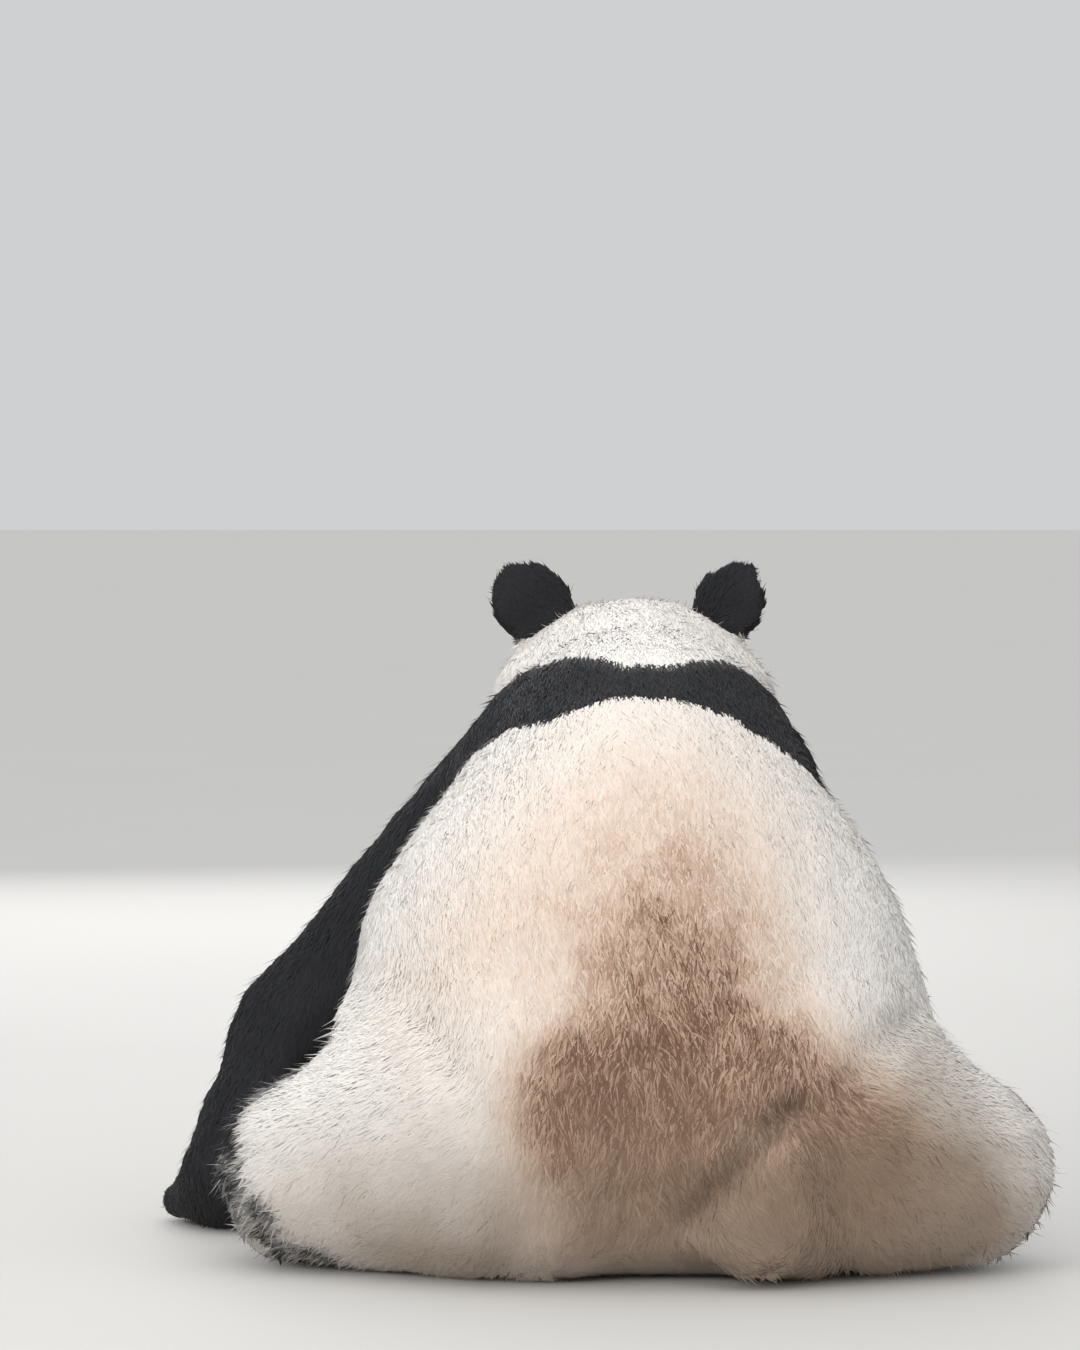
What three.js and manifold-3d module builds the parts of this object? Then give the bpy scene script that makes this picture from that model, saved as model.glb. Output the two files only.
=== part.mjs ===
// Adult giant panda, life size, as a still museum model. It sits on its rump, leans forward on both
// forelegs and looks ahead and down, with its hind legs spread and their soles turned forward.
// Millimetres, +Z up. The animal faces -Y, its left side is +X, and the floor is z = 0.
// Every solid is drawn out to the tips of the coat.
//
// Flesh is a field: a function of a point that is negative inside and about the distance outside.
// Rounded masses are blended into one body, the body is turned into facets, and thin cuts part it.

import * as THREE from "three";
import { mergeVertices } from "three/addons/utils/BufferGeometryUtils.js";
import Module from "manifold-3d";

const wasm = await Module();
wasm.setup();

// ---------------------------------------------------------------- driving dimensions

const CUT = 0.8; // width of the cut between two neighbouring solids
const REACH = 2400; // longer than the animal, for the boxes that cut it
const SPARE = 70; // how far a limb's space reaches past the limb's own surface

// How far the places of a limb or a feature lie inside the box that it is worked out in.
const MARGIN = { arm: 260, leg: 310, tail: 220, neck: 440, head: 300, ear: 90, nose: 60 };

// The radii that creases are filled to where two masses meet.
const SOFT = {
  trunk: 95,
  hip: 75,
  neck: 70,
  shoulder: 60,
  face: 34,
  joint: 28,
  socket: 20,
  dish: 10,
  toe: 9,
  nose: 6,
};

// Facet sizes: large on the trunk, small where the form is small.
const CELL = {
  trunk: 80,
  space: 66,
  neck: 50,
  limb: 54,
  tail: 38,
  paw: 30,
  head: 27,
  ear: 15,
  nose: 13,
};

const HEAD = { centre: [4, -510, 616], pitchDeg: 25 };
const NECK = { back: [2, -300, 545], front: [4, -430, 592], radiusBack: 138, radiusFront: 126 };
const COLLAR = { point: [0, -300, 575], normal: [0, -0.9, 0.44] }; // the cut of trunk and neck
const OCCIPUT = { point: [0, -398, 600], normal: [0, -0.93, 0.36] }; // the cut of neck and head
const EAR = { across: 106, tall: 116, thick: 36, side: 120, back: 16, up: 112, leanDeg: 30 };
const EAR_FAN_DEG = { left: 20, right: 44 }; // how far each ear is turned outwards
const EYE = { radius: 12.5, side: 54, forward: 120, up: 20, around: 10, upward: 7 };
const NOSE = { width: 60, tall: 38, deep: 34, forward: 222, up: -38 };
const TAIL = { centre: [-108, 318, 102], radii: [66, 36, 106], turn: [-14, -10, 0] };
const TOE = { apart: 23, reach: 66, shorter: 4.5 }; // the outer toes reach less far, by the square
const CLAW = { length: 38, radius: 6.2, narrow: 0.72, buried: 0.35, bendDeg: 48, sides: 6, steps: 3 };

// Joint places of each limb, from the root of the limb to its tip.
const FORELEG = {
  left: {
    shoulder: [118, -300, 520],
    elbow: [402, -280, 224],
    wrist: [478, -196, 82],
    paw: [492, -226, 36],
    headingDeg: 24,
  },
  right: {
    shoulder: [-96, -300, 508],
    elbow: [-232, -374, 275],
    wrist: [-276, -416, 88],
    paw: [-280, -440, 36],
    headingDeg: -10,
  },
};
const FORELEG_RADIUS = { shoulder: 114, elbow: 84, wrist: 66 };
const HINDLEG = {
  left: {
    hip: [160, 175, 150],
    knee: [386, 92, 108],
    ankle: [262, -186, 66],
    foot: [250, -250, 90],
    splayDeg: 8,
  },
  right: {
    hip: [-155, 178, 150],
    knee: [-330, 150, 114],
    ankle: [-278, -168, 66],
    foot: [-276, -236, 92],
    splayDeg: -14,
  },
};
const HINDLEG_RADIUS = { hip: 165, knee: 112, shin: 88, ankle: 62 };
const SOLE_LEAN_DEG = 16; // how far the sole of a hind foot leans back from upright

// ---------------------------------------------------------------- fields

const radians = THREE.MathUtils.degToRad;

// A turn about X, then Y, then Z, as the three rows of the matrix that takes a point back.
function rowsOfTurn(degrees) {
  const m = new THREE.Matrix4().makeRotationFromEuler(
    new THREE.Euler(...degrees.map(radians), "ZYX"),
  );
  const e = m.elements;
  return [0, 1, 2].map((c) => [e[4 * c], e[4 * c + 1], e[4 * c + 2]]);
}

// An ellipsoid with its three half widths along its own, turned axes.
function egg(centre, radii, turn = [0, 0, 0]) {
  const rows = rowsOfTurn(turn);
  return (x, y, z) => {
    const d = [x - centre[0], y - centre[1], z - centre[2]];
    let near = 0;
    let steep = 0;
    for (let i = 0; i < 3; i++) {
      const q = (rows[i][0] * d[0] + rows[i][1] * d[1] + rows[i][2] * d[2]) / radii[i];
      near += q * q;
      steep += (q / radii[i]) ** 2;
    }
    if (steep < 1e-12) return -Math.min(...radii);
    near = Math.sqrt(near);
    return (near * (near - 1)) / Math.sqrt(steep);
  };
}

// A limb's length: two balls of different radius and the tapered skin drawn tight round them.
function taper(from, to, radiusFrom, radiusTo) {
  const b = to.map((v, i) => v - from[i]);
  const length2 = b[0] ** 2 + b[1] ** 2 + b[2] ** 2;
  const fall = radiusFrom - radiusTo;
  const a2 = length2 - fall * fall;
  return (x, y, z) => {
    const p = [x - from[0], y - from[1], z - from[2]];
    const along = p[0] * b[0] + p[1] * b[1] + p[2] * b[2];
    const rest = along - length2;
    const across2 = p.reduce((s, v, i) => s + (v * length2 - b[i] * along) ** 2, 0);
    const alongTerm = along * along * length2;
    const restTerm = rest * rest * length2;
    const k = Math.sign(fall) * fall * fall * across2;
    if (Math.sign(rest) * a2 * restTerm > k) return Math.sqrt(across2 + restTerm) / length2 - radiusTo;
    if (Math.sign(along) * a2 * alongTerm < k) return Math.sqrt(across2 + alongTerm) / length2 - radiusFrom;
    return (Math.sqrt((across2 * a2) / length2) + along * fall) / length2 - radiusFrom;
  };
}

// Fields joined so that the crease between them fills up to the given radius.
function blend(radius, ...fields) {
  return (x, y, z) => {
    let joined = fields[0](x, y, z);
    for (let i = 1; i < fields.length; i++) {
      const other = fields[i](x, y, z);
      const h = Math.max(radius - Math.abs(joined - other), 0) / radius;
      joined = Math.min(joined, other) - (h * h * radius) / 4;
    }
    return joined;
  };
}

const nearest = (...fields) => (x, y, z) => Math.min(...fields.map((f) => f(x, y, z)));

// A mass pressed into another one, leaving a hollow with soft edges.
function hollowed(radius, field, tool) {
  return (x, y, z) => {
    const a = field(x, y, z);
    const b = -tool(x, y, z);
    const h = Math.max(radius - Math.abs(a - b), 0) / radius;
    return Math.max(a, b) + (h * h * radius) / 4;
  };
}

// ---------------------------------------------------------------- the head's own frame

// Head places are told as [left, forward, up] from the middle of the skull.
const headTurn = new THREE.Matrix4()
  .makeTranslation(...HEAD.centre)
  .multiply(new THREE.Matrix4().makeRotationX(radians(HEAD.pitchDeg)));
const inHead = (left, forward, up) => new THREE.Vector3(left, -forward, up).applyMatrix4(headTurn).toArray();
const headEgg = (place, [wide, long, tall], tilt = 0) =>
  egg(inHead(...place), [wide, long, tall], [HEAD.pitchDeg + tilt, 0, 0]);

const SIDES = { left: 1, right: -1 };

// ---------------------------------------------------------------- masses of the body

function trunkField() {
  return blend(
    SOFT.trunk,
    egg([10, 72, 200], [322, 262, 230]), // rump and belly
    egg([20, -40, 310], [324, 300, 268]), // loins and ribs
    egg([8, -165, 435], [218, 262, 222]), // chest
    egg([4, -240, 572], [142, 170, 118], [-14, 0, 0]), // withers
  );
}

function tailField() {
  return egg(TAIL.centre, TAIL.radii, TAIL.turn);
}

function neckField() {
  return taper(NECK.back, NECK.front, NECK.radiusBack, NECK.radiusFront);
}

function headField() {
  const cheeks = Object.values(SIDES).flatMap((s) => [
    headEgg([s * 90, 22, -46], [84, 104, 98]),
    headEgg([s * 98, -22, -24], [74, 90, 76]),
  ]);
  const skull = blend(
    SOFT.face,
    headEgg([0, -10, 12], [130, 132, 92]), // braincase
    headEgg([0, -30, 72], [56, 80, 26]), // crest
    headEgg([0, 76, 34], [92, 62, 62]), // forehead
    ...cheeks,
  );
  const muzzle = blend(
    SOFT.face,
    taper(inHead(0, 104, -40), inHead(0, 170, -54), 70, 52),
    headEgg([0, 124, -96], [58, 76, 34]), // chin and lower jaw
    headEgg([0, 118, -4], [30, 74, 34], 14), // bridge of the nose
  );
  const face = blend(SOFT.face, skull, muzzle);
  const sockets = nearest(
    ...Object.values(SIDES).map((s) => headEgg([s * (EYE.side + 4), EYE.forward + 24, EYE.up], [26, 24, 20])),
  );
  return hollowed(SOFT.socket, face, sockets);
}

const earPlace = (s) => inHead(s * EAR.side, -EAR.back, EAR.up);
const eyePlace = (s) => inHead(s * EYE.side, EYE.forward, EYE.up);
const nosePlace = inHead(0, NOSE.forward, NOSE.up);

// A rounded disc set on edge, dished in front.
function earField(side) {
  const s = SIDES[side];
  const place = earPlace(s);
  const turn = [HEAD.pitchDeg - 8, s * EAR.leanDeg, s * EAR_FAN_DEG[side]];
  const ahead = new THREE.Vector3(0, -EAR.thick * 0.62, 0);
  ahead.applyEuler(new THREE.Euler(...turn.map(radians), "ZYX"));
  const shell = egg(place, [EAR.across / 2, EAR.thick / 2, EAR.tall / 2], turn);
  const dish = ahead.add(new THREE.Vector3(...place)).toArray();
  return hollowed(SOFT.dish, shell, egg(dish, [EAR.across * 0.36, EAR.thick * 0.5, EAR.tall * 0.36], turn));
}

// The bare pad of the nose: wide above, narrowing to the groove of the lip.
function noseField() {
  const { width, tall, deep } = NOSE;
  return blend(
    SOFT.nose,
    headEgg([0, NOSE.forward - deep / 2, NOSE.up + tall * 0.12], [width / 2, deep / 2, tall * 0.38]),
    headEgg([0, NOSE.forward - deep / 2, NOSE.up - tall * 0.2], [width * 0.3, deep * 0.45, tall * 0.32]),
  );
}

const toePlaces = [-2, -1, 0, 1, 2].map((i) => ({
  side: i * TOE.apart,
  reach: TOE.reach - TOE.shorter * i * i,
}));

// A forepaw flat on the floor: its heading is the way the toes point, 0 straight ahead.
function forepaw(side) {
  const { paw, headingDeg } = FORELEG[side];
  const turn = radians(headingDeg);
  const ahead = [Math.sin(turn), -Math.cos(turn)];
  const at = (across, forward, up) => [
    paw[0] + across * Math.cos(turn) + forward * ahead[0],
    paw[1] + across * Math.sin(turn) + forward * ahead[1],
    up,
  ];
  return {
    field: blend(
      SOFT.toe,
      egg(at(0, 4, 40), [64, 82, 50], [0, 0, headingDeg]),
      ...toePlaces.map((t) => egg(at(t.side, t.reach, 27), [17, 34, 26], [8, 0, headingDeg])),
    ),
    claws: toePlaces.map((t) => ({
      root: at(t.side, t.reach + 27, 30),
      aim: [...ahead, 0.1],
      down: [0, 0, -1],
    })),
  };
}

// A hind foot standing on its heel: the sole looks ahead and a little up, and the toes point up.
function hindFoot(side) {
  const { foot, splayDeg } = HINDLEG[side];
  const frame = new THREE.Matrix4()
    .makeTranslation(...foot)
    .multiply(new THREE.Matrix4().makeRotationZ(radians(splayDeg)))
    .multiply(new THREE.Matrix4().makeRotationX(radians(-SOLE_LEAN_DEG)))
    .multiply(new THREE.Matrix4().makeRotationY(radians(splayDeg * 0.5)));
  const at = (across, out, up) => new THREE.Vector3(across, -out, up).applyMatrix4(frame).toArray();
  const aim = (across, out, up) => new THREE.Vector3(across, -out, up).transformDirection(frame).toArray();
  const euler = new THREE.Euler().setFromRotationMatrix(frame, "ZYX");
  const turn = [euler.x, euler.y, euler.z].map(THREE.MathUtils.radToDeg);
  return {
    field: blend(
      SOFT.toe,
      egg(at(0, -4, -4), [60, 44, 80], turn),
      egg(at(0, -8, -48), [48, 50, 46], turn), // heel
      ...toePlaces.map((t) => egg(at(t.side, 4, t.reach), [17, 26, 26], turn)),
    ),
    claws: toePlaces.map((t) => ({
      root: at(t.side, 12, t.reach + 27),
      aim: aim(0, 0.1, 1),
      down: aim(0, 1, 0),
    })),
  };
}

function upperForeleg(side) {
  const j = FORELEG[side];
  const r = FORELEG_RADIUS;
  return taper(j.shoulder, j.elbow, r.shoulder, r.elbow);
}

function lowerForeleg(side) {
  const j = FORELEG[side];
  const r = FORELEG_RADIUS;
  return taper(j.elbow, j.wrist, r.elbow, r.wrist);
}

function thigh(side) {
  const j = HINDLEG[side];
  const r = HINDLEG_RADIUS;
  return taper(j.hip, j.knee, r.hip, r.knee);
}

function shin(side) {
  const j = HINDLEG[side];
  const r = HINDLEG_RADIUS;
  return taper(j.knee, j.ankle, r.shin, r.ankle);
}

const paws = { left: forepaw("left"), right: forepaw("right") };
const feet = { left: hindFoot("left"), right: hindFoot("right") };
const trunk = trunkField();
const tail = tailField();
const neck = neckField();
const head = headField();
const core = blend(SOFT.neck, trunk, neck);
const torso = blend(SOFT.neck, core, head);
const foreleg = (side) => blend(SOFT.joint, upperForeleg(side), lowerForeleg(side), paws[side].field);
const hindleg = (side) => blend(SOFT.joint, thigh(side), shin(side), feet[side].field);
const forelegs = { left: foreleg("left"), right: foreleg("right") };
const hindlegs = { left: hindleg("left"), right: hindleg("right") };
const masses = [...Object.values(forelegs), ...Object.values(hindlegs), tail];

// Thighs and shoulders melt into the torso. Lower limbs and tail only lie against it.
const carcass = blend(
  SOFT.shoulder,
  blend(SOFT.hip, torso, thigh("left"), thigh("right")),
  upperForeleg("left"),
  upperForeleg("right"),
);
const body = blend(
  SOFT.joint,
  carcass,
  tail,
  ...Object.keys(SIDES).flatMap((side) => [
    blend(SOFT.joint, lowerForeleg(side), paws[side].field),
    blend(SOFT.joint, shin(side), feet[side].field),
  ]),
);

// ---------------------------------------------------------------- facets

// Moves a point onto the field's surface, along the steepest way, but never far.
function settle(field, point, cell) {
  const step = 0.5;
  const [x, y, z] = point;
  const f = field(x, y, z);
  const g = [
    field(x + step, y, z) - field(x - step, y, z),
    field(x, y + step, z) - field(x, y - step, z),
    field(x, y, z + step) - field(x, y, z - step),
  ].map((v) => v / (2 * step));
  const steep = Math.max(g[0] ** 2 + g[1] ** 2 + g[2] ** 2, 0.1);
  const far = Math.max(-cell / 4, Math.min(cell / 4, f / steep));
  return point.map((v, i) => v - far * g[i]);
}

// Where the corners of a grid face alternate in and out the surface would pinch, so the shallower
// of the two inner corners is left out.
function unpinch(values, steps) {
  let pinched = true;
  while (pinched) {
    pinched = false;
    for (let at = 0; at < values.length; at++)
      for (const [p, q] of [[0, 1], [1, 2], [0, 2]]) {
        const face = [at, at + steps[p], at + steps[p] + steps[q], at + steps[q]];
        const inside = face.map((i) => values[i] < 0);
        if (inside[0] !== inside[2] || inside[1] !== inside[3] || inside[0] === inside[1]) continue;
        const pair = face.filter((i) => values[i] < 0);
        values[values[pair[0]] > values[pair[1]] ? pair[0] : pair[1]] = 1e-3;
        pinched = true;
      }
  }
}

// Surface nets: one corner in each grid cell that the surface crosses, and one quad round each grid
// edge that it crosses. The corners then settle on the true surface.
function facet(field, cell, box) {
  const n = box.low.map((v, i) => Math.ceil((box.high[i] - v) / cell) + 3);
  const index = (i, j, k) => i + n[0] * (j + n[1] * k);
  const place = (i, j, k) => [i, j, k].map((g, m) => box.low[m] + (g - 1) * cell);
  const values = new Float64Array(n[0] * n[1] * n[2]);
  for (let k = 0; k < n[2]; k++)
    for (let j = 0; j < n[1]; j++)
      for (let i = 0; i < n[0]; i++) values[index(i, j, k)] = field(...place(i, j, k));
  unpinch(values, [index(1, 0, 0), index(0, 1, 0), index(0, 0, 1)]);

  const corners = [];
  const cornerOf = new Map();
  const bits = [0, 1, 2, 3, 4, 5, 6, 7].map((b) => [b & 1, (b >> 1) & 1, (b >> 2) & 1]);
  for (let k = 0; k < n[2] - 1; k++)
    for (let j = 0; j < n[1] - 1; j++)
      for (let i = 0; i < n[0] - 1; i++) {
        const v = bits.map(([a, b, c]) => values[index(i + a, j + b, k + c)]);
        const sum = [0, 0, 0];
        let crossings = 0;
        for (let a = 0; a < 8; a++)
          for (let axis = 0; axis < 3; axis++) {
            if (bits[a][axis]) continue;
            const b = a | (1 << axis);
            if (v[a] < 0 === v[b] < 0) continue;
            const t = v[a] / (v[a] - v[b]);
            for (let m = 0; m < 3; m++) sum[m] += bits[a][m] + (m === axis ? t : 0);
            crossings++;
          }
        if (!crossings) continue;
        let point = place(i, j, k).map((g, m) => g + (sum[m] / crossings) * cell);
        for (let pass = 0; pass < 3; pass++) point = settle(field, point, cell);
        cornerOf.set(index(i, j, k), corners.length / 3);
        corners.push(...point);
      }

  const faces = [];
  const gap = (a, b) => Math.hypot(...[0, 1, 2].map((m) => corners[3 * a + m] - corners[3 * b + m]));
  const quad = (a, b, c, d) => {
    if (gap(a, c) <= gap(b, d)) faces.push(a, b, c, a, c, d);
    else faces.push(a, b, d, b, c, d);
  };
  for (let k = 1; k < n[2] - 1; k++)
    for (let j = 1; j < n[1] - 1; j++)
      for (let i = 1; i < n[0] - 1; i++) {
        const here = values[index(i, j, k)] < 0;
        const around = [
          [values[index(i + 1, j, k)] < 0, [[0, -1, -1], [0, 0, -1], [0, 0, 0], [0, -1, 0]]],
          [values[index(i, j + 1, k)] < 0, [[-1, 0, -1], [-1, 0, 0], [0, 0, 0], [0, 0, -1]]],
          [values[index(i, j, k + 1)] < 0, [[-1, -1, 0], [0, -1, 0], [0, 0, 0], [-1, 0, 0]]],
        ];
        for (const [there, cells] of around) {
          if (here === there) continue;
          const ring = cells.map(([a, b, c]) => cornerOf.get(index(i + a, j + b, k + c)));
          if (here) quad(...ring);
          else quad(...ring.reverse());
        }
      }
  return solidFrom(corners, faces);
}

// ---------------------------------------------------------------- solids

function solidFrom(corners, faces) {
  const mesh = { numProp: 3, vertProperties: new Float32Array(corners), triVerts: new Uint32Array(faces) };
  return new wasm.Manifold(new wasm.Mesh(mesh));
}

function geometryOf(solid) {
  const mesh = solid.getMesh();
  const geometry = new THREE.BufferGeometry();
  geometry.setAttribute("position", new THREE.BufferAttribute(mesh.vertProperties.slice(), 3));
  geometry.setIndex(new THREE.BufferAttribute(mesh.triVerts.slice(), 1));
  geometry.computeVertexNormals();
  return geometry;
}

// A closed three.js geometry as a manifold-3d solid.
function solidOf(geometry) {
  const bare = geometry.clone();
  bare.deleteAttribute("normal");
  bare.deleteAttribute("uv");
  const merged = mergeVertices(bare, 1e-3);
  return solidFrom(merged.attributes.position.array, merged.index.array);
}

// The same facets with every corner moved outwards, for cuts that leave a gap of even width.
function swollen(solid, by) {
  const geometry = geometryOf(solid);
  const { position, normal } = geometry.attributes;
  const moved = position.array.map((v, i) => v + normal.array[i] * by);
  return solidFrom(moved, geometry.index.array);
}

// Everything on the side of a plane that its normal points to, from a given distance on.
function beyond(point, normal, from = CUT / 2) {
  const direction = new THREE.Vector3(...normal).normalize();
  const box = new THREE.BoxGeometry(REACH, REACH, REACH).translate(0, 0, REACH / 2 + from);
  box.applyQuaternion(new THREE.Quaternion().setFromUnitVectors(new THREE.Vector3(0, 0, 1), direction));
  box.translate(...point);
  return solidOf(box);
}

const opposite = (v) => v.map((c) => -c);
const unit = (from, to) => new THREE.Vector3(...to).sub(new THREE.Vector3(...from)).normalize();
const halving = (a, b, c) => unit(a, b).add(unit(b, c)).toArray();
const aboveFloor = beyond([0, 0, 0], [0, 0, 1], 0);

// The space that belongs to one limb: where it lies deeper in its own mass than in any other.
function spaceOf(own, box) {
  const others = nearest(torso, ...masses.filter((mass) => mass !== own));
  const share = (x, y, z) => Math.max((own(x, y, z) - others(x, y, z)) / 2, own(x, y, z) - SPARE);
  const middle = facet(share, CELL.space, box);
  return { inside: swollen(middle, -CUT / 2), withCut: swollen(middle, CUT / 2) };
}

const taken = []; // the spaces of the limbs parted so far, each with the cut round it
const clear = (solid) => taken.reduce((left, space) => left.subtract(space), solid);

// The flesh near one limb, in facets of the given size.
function fleshNear(own, cell, box) {
  const near = (x, y, z) => Math.max(body(x, y, z), own(x, y, z) - SPARE - cell);
  return facet(near, cell, box).intersect(aboveFloor);
}

// A cut along a facet can shave off a sliver, so a node keeps its one large piece.
function largest(solid) {
  return solid.decompose().reduce((best, piece) => (piece.volume() > best.volume() ? piece : best));
}

const solids = new Map(); // node name to solid
const keep = (name, solid) => solids.set(name, largest(solid));

function boxRound(places, margin) {
  const low = [0, 1, 2].map((m) => Math.min(...places.map((p) => p[m])) - margin);
  const high = [0, 1, 2].map((m) => Math.max(...places.map((p) => p[m])) + margin);
  return { low, high };
}

// Parts a limb into lengths with planes through its joints, and its tip in finer facets. Gives back
// all the flesh near the limb in those finer facets.
function cutLimb(names, own, box, cuts) {
  const space = spaceOf(own, box);
  const coarse = clear(fleshNear(own, CELL.limb, box).intersect(space.inside));
  const whole = fleshNear(own, CELL.paw, box);
  const fine = clear(whole.intersect(space.inside));
  const [upper, lower, tip] = names;
  const [first, second] = cuts;
  keep(upper, coarse.intersect(beyond(first.point, opposite(first.normal))));
  const past = coarse.intersect(beyond(first.point, first.normal));
  keep(lower, past.intersect(beyond(second.point, opposite(second.normal))));
  keep(tip, fine.intersect(beyond(second.point, second.normal)));
  taken.push(space.withCut);
  return whole;
}

// A claw: a horn that curves down as it runs out and narrows to its tip.
function claw({ root, aim, down }) {
  const { length, radius, narrow, buried, sides, steps } = CLAW;
  const bend = radians(CLAW.bendDeg);
  const arc = length / bend;
  const out = new THREE.Vector3(...aim).normalize();
  const fall = new THREE.Vector3(...down);
  fall.addScaledVector(out, -out.dot(fall)).normalize();
  const across = new THREE.Vector3().crossVectors(fall, out);
  const middleAt = (turn) =>
    new THREE.Vector3(...root)
      .addScaledVector(out, arc * Math.sin(turn) - length * buried)
      .addScaledVector(fall, arc * (1 - Math.cos(turn)));
  const corners = [];
  const faces = [];
  for (let s = 0; s < steps; s++) {
    const t = s / steps;
    const turn = bend * t;
    const thick = radius * Math.sqrt(1 - t * t);
    const high = out.clone().multiplyScalar(-Math.sin(turn)).addScaledVector(fall, Math.cos(turn));
    for (let a = 0; a < sides; a++) {
      const angle = (2 * Math.PI * a) / sides;
      const corner = middleAt(turn).addScaledVector(across, narrow * thick * Math.cos(angle));
      corners.push(...corner.addScaledVector(high, thick * Math.sin(angle)).toArray());
      if (s === 0) continue;
      const ring = (s - 1) * sides;
      const b = (a + 1) % sides;
      faces.push(ring + a, ring + b, ring + sides + b, ring + a, ring + sides + b, ring + sides + a);
    }
  }
  corners.push(...middleAt(bend).toArray());
  const last = (steps - 1) * sides;
  for (let a = 0; a < sides; a++) faces.push(last + a, last + ((a + 1) % sides), steps * sides);
  for (let a = 1; a < sides - 1; a++) faces.push(0, a + 1, a);
  return solidFrom(corners, faces);
}

// ---------------------------------------------------------------- parting the animal

for (const side of Object.keys(SIDES)) {
  const arm = FORELEG[side];
  const armCuts = [
    { point: arm.elbow, normal: halving(arm.shoulder, arm.elbow, arm.wrist) },
    { point: arm.wrist, normal: halving(arm.elbow, arm.wrist, arm.paw) },
  ];
  const armNames = [`upper_arm_${side}`, `forearm_${side}`, `forepaw_${side}`];
  const armBox = boxRound([arm.shoulder, arm.elbow, arm.wrist, arm.paw], MARGIN.arm);
  const armFlesh = swollen(cutLimb(armNames, forelegs[side], armBox, armCuts), CUT);
  paws[side].claws.forEach((spot, i) => {
    keep(`claw_fore_${side}_${i + 1}`, claw(spot).subtract(armFlesh));
  });

  const leg = HINDLEG[side];
  const legCuts = [
    { point: leg.knee, normal: halving(leg.hip, leg.knee, leg.ankle) },
    { point: leg.ankle, normal: halving(leg.knee, leg.ankle, leg.foot) },
  ];
  const legNames = [`thigh_${side}`, `shin_${side}`, `hind_foot_${side}`];
  const legBox = boxRound([leg.hip, leg.knee, leg.ankle, leg.foot], MARGIN.leg);
  const legFlesh = swollen(cutLimb(legNames, hindlegs[side], legBox, legCuts), CUT);
  feet[side].claws.forEach((spot, i) => {
    keep(`claw_hind_${side}_${i + 1}`, claw(spot).subtract(legFlesh));
  });
}

const tailBox = boxRound([TAIL.centre], MARGIN.tail);
const tailSpace = spaceOf(tail, tailBox);
keep("tail", clear(fleshNear(tail, CELL.tail, tailBox).intersect(tailSpace.inside)));
taken.push(tailSpace.withCut);

// Trunk and neck are cut from the carcass, which has no lower limbs that could leave ridges on them.
const trunkPlaces = [HINDLEG.left.hip, HINDLEG.right.hip, HINDLEG.left.knee, HINDLEG.right.knee, HEAD.centre];
const trunkWhole = facet(carcass, CELL.trunk, boxRound(trunkPlaces, MARGIN.leg)).intersect(aboveFloor);
keep("trunk", clear(trunkWhole).intersect(beyond(COLLAR.point, opposite(COLLAR.normal))));
const neckBox = boxRound([COLLAR.point, OCCIPUT.point], MARGIN.neck);
const nape = (x, y, z) => Math.max(carcass(x, y, z), neck(x, y, z) - 3 * SPARE);
const neckWhole = facet(nape, CELL.neck, neckBox).intersect(aboveFloor);
const neckFore = clear(neckWhole).intersect(beyond(COLLAR.point, COLLAR.normal));
keep("neck", neckFore.intersect(beyond(OCCIPUT.point, opposite(OCCIPUT.normal))));

const headWhole = fleshNear(head, CELL.head, boxRound([HEAD.centre], MARGIN.head));
const headCut = swollen(headWhole, CUT);
let headPart = clear(headWhole).intersect(beyond(OCCIPUT.point, OCCIPUT.normal));
for (const [side, s] of Object.entries(SIDES)) {
  const sphere = (radius) => new THREE.SphereGeometry(radius, EYE.around, EYE.upward);
  const ball = (radius) => solidOf(sphere(radius).translate(...eyePlace(s)));
  keep(`eye_${side}`, ball(EYE.radius));
  headPart = headPart.subtract(ball(EYE.radius + CUT));
  keep(`ear_${side}`, facet(earField(side), CELL.ear, boxRound([earPlace(s)], MARGIN.ear)).subtract(headCut));
}
keep("head", headPart);
keep("nose", facet(noseField(), CELL.nose, boxRound([nosePlace], MARGIN.nose)).subtract(headCut));

// ---------------------------------------------------------------- the scene graph

const COATS = {
  white: { color: 0xd9d2c4, roughness: 0.95, metalness: 0 },
  black: { color: 0x232426, roughness: 0.9, metalness: 0 },
};
const BARE = {
  eye: { color: 0x1a100b, roughness: 0.08, metalness: 0 },
  nose: { color: 0x17151a, roughness: 0.45, metalness: 0 },
  claw: { color: 0x4a443c, roughness: 0.4, metalness: 0 },
};

function finishOf(name) {
  const bare = Object.keys(BARE).find((word) => name.startsWith(word));
  if (bare) return BARE[bare];
  const white = ["head", "neck", "trunk", "tail", "thigh"].some((word) => name.startsWith(word));
  return white ? COATS.white : COATS.black;
}

const group = new THREE.Group();
const everything = new THREE.Box3();
for (const [name, solid] of solids) {
  const mesh = new THREE.Mesh(geometryOf(solid), new THREE.MeshStandardMaterial(finishOf(name)));
  mesh.name = name;
  group.add(mesh);
  everything.expandByObject(mesh);
}
const middle = everything.getCenter(new THREE.Vector3());
group.position.set(-middle.x, -middle.y, 0);

export default group;
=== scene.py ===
"""An adult giant panda, life size, sitting and leaning on its forelegs.

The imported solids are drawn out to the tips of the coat. One skin lies inside them by the depth of the
coat, and tufts of fur grow from it along the lie of the hair. Eyes, nose, claws and foot pads are
pieces of their own. Everything is in metres: +Z up, the animal faces -Y and its left side is +X.
"""

import logging
from dataclasses import dataclass
from enum import Enum
from itertools import product

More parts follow.
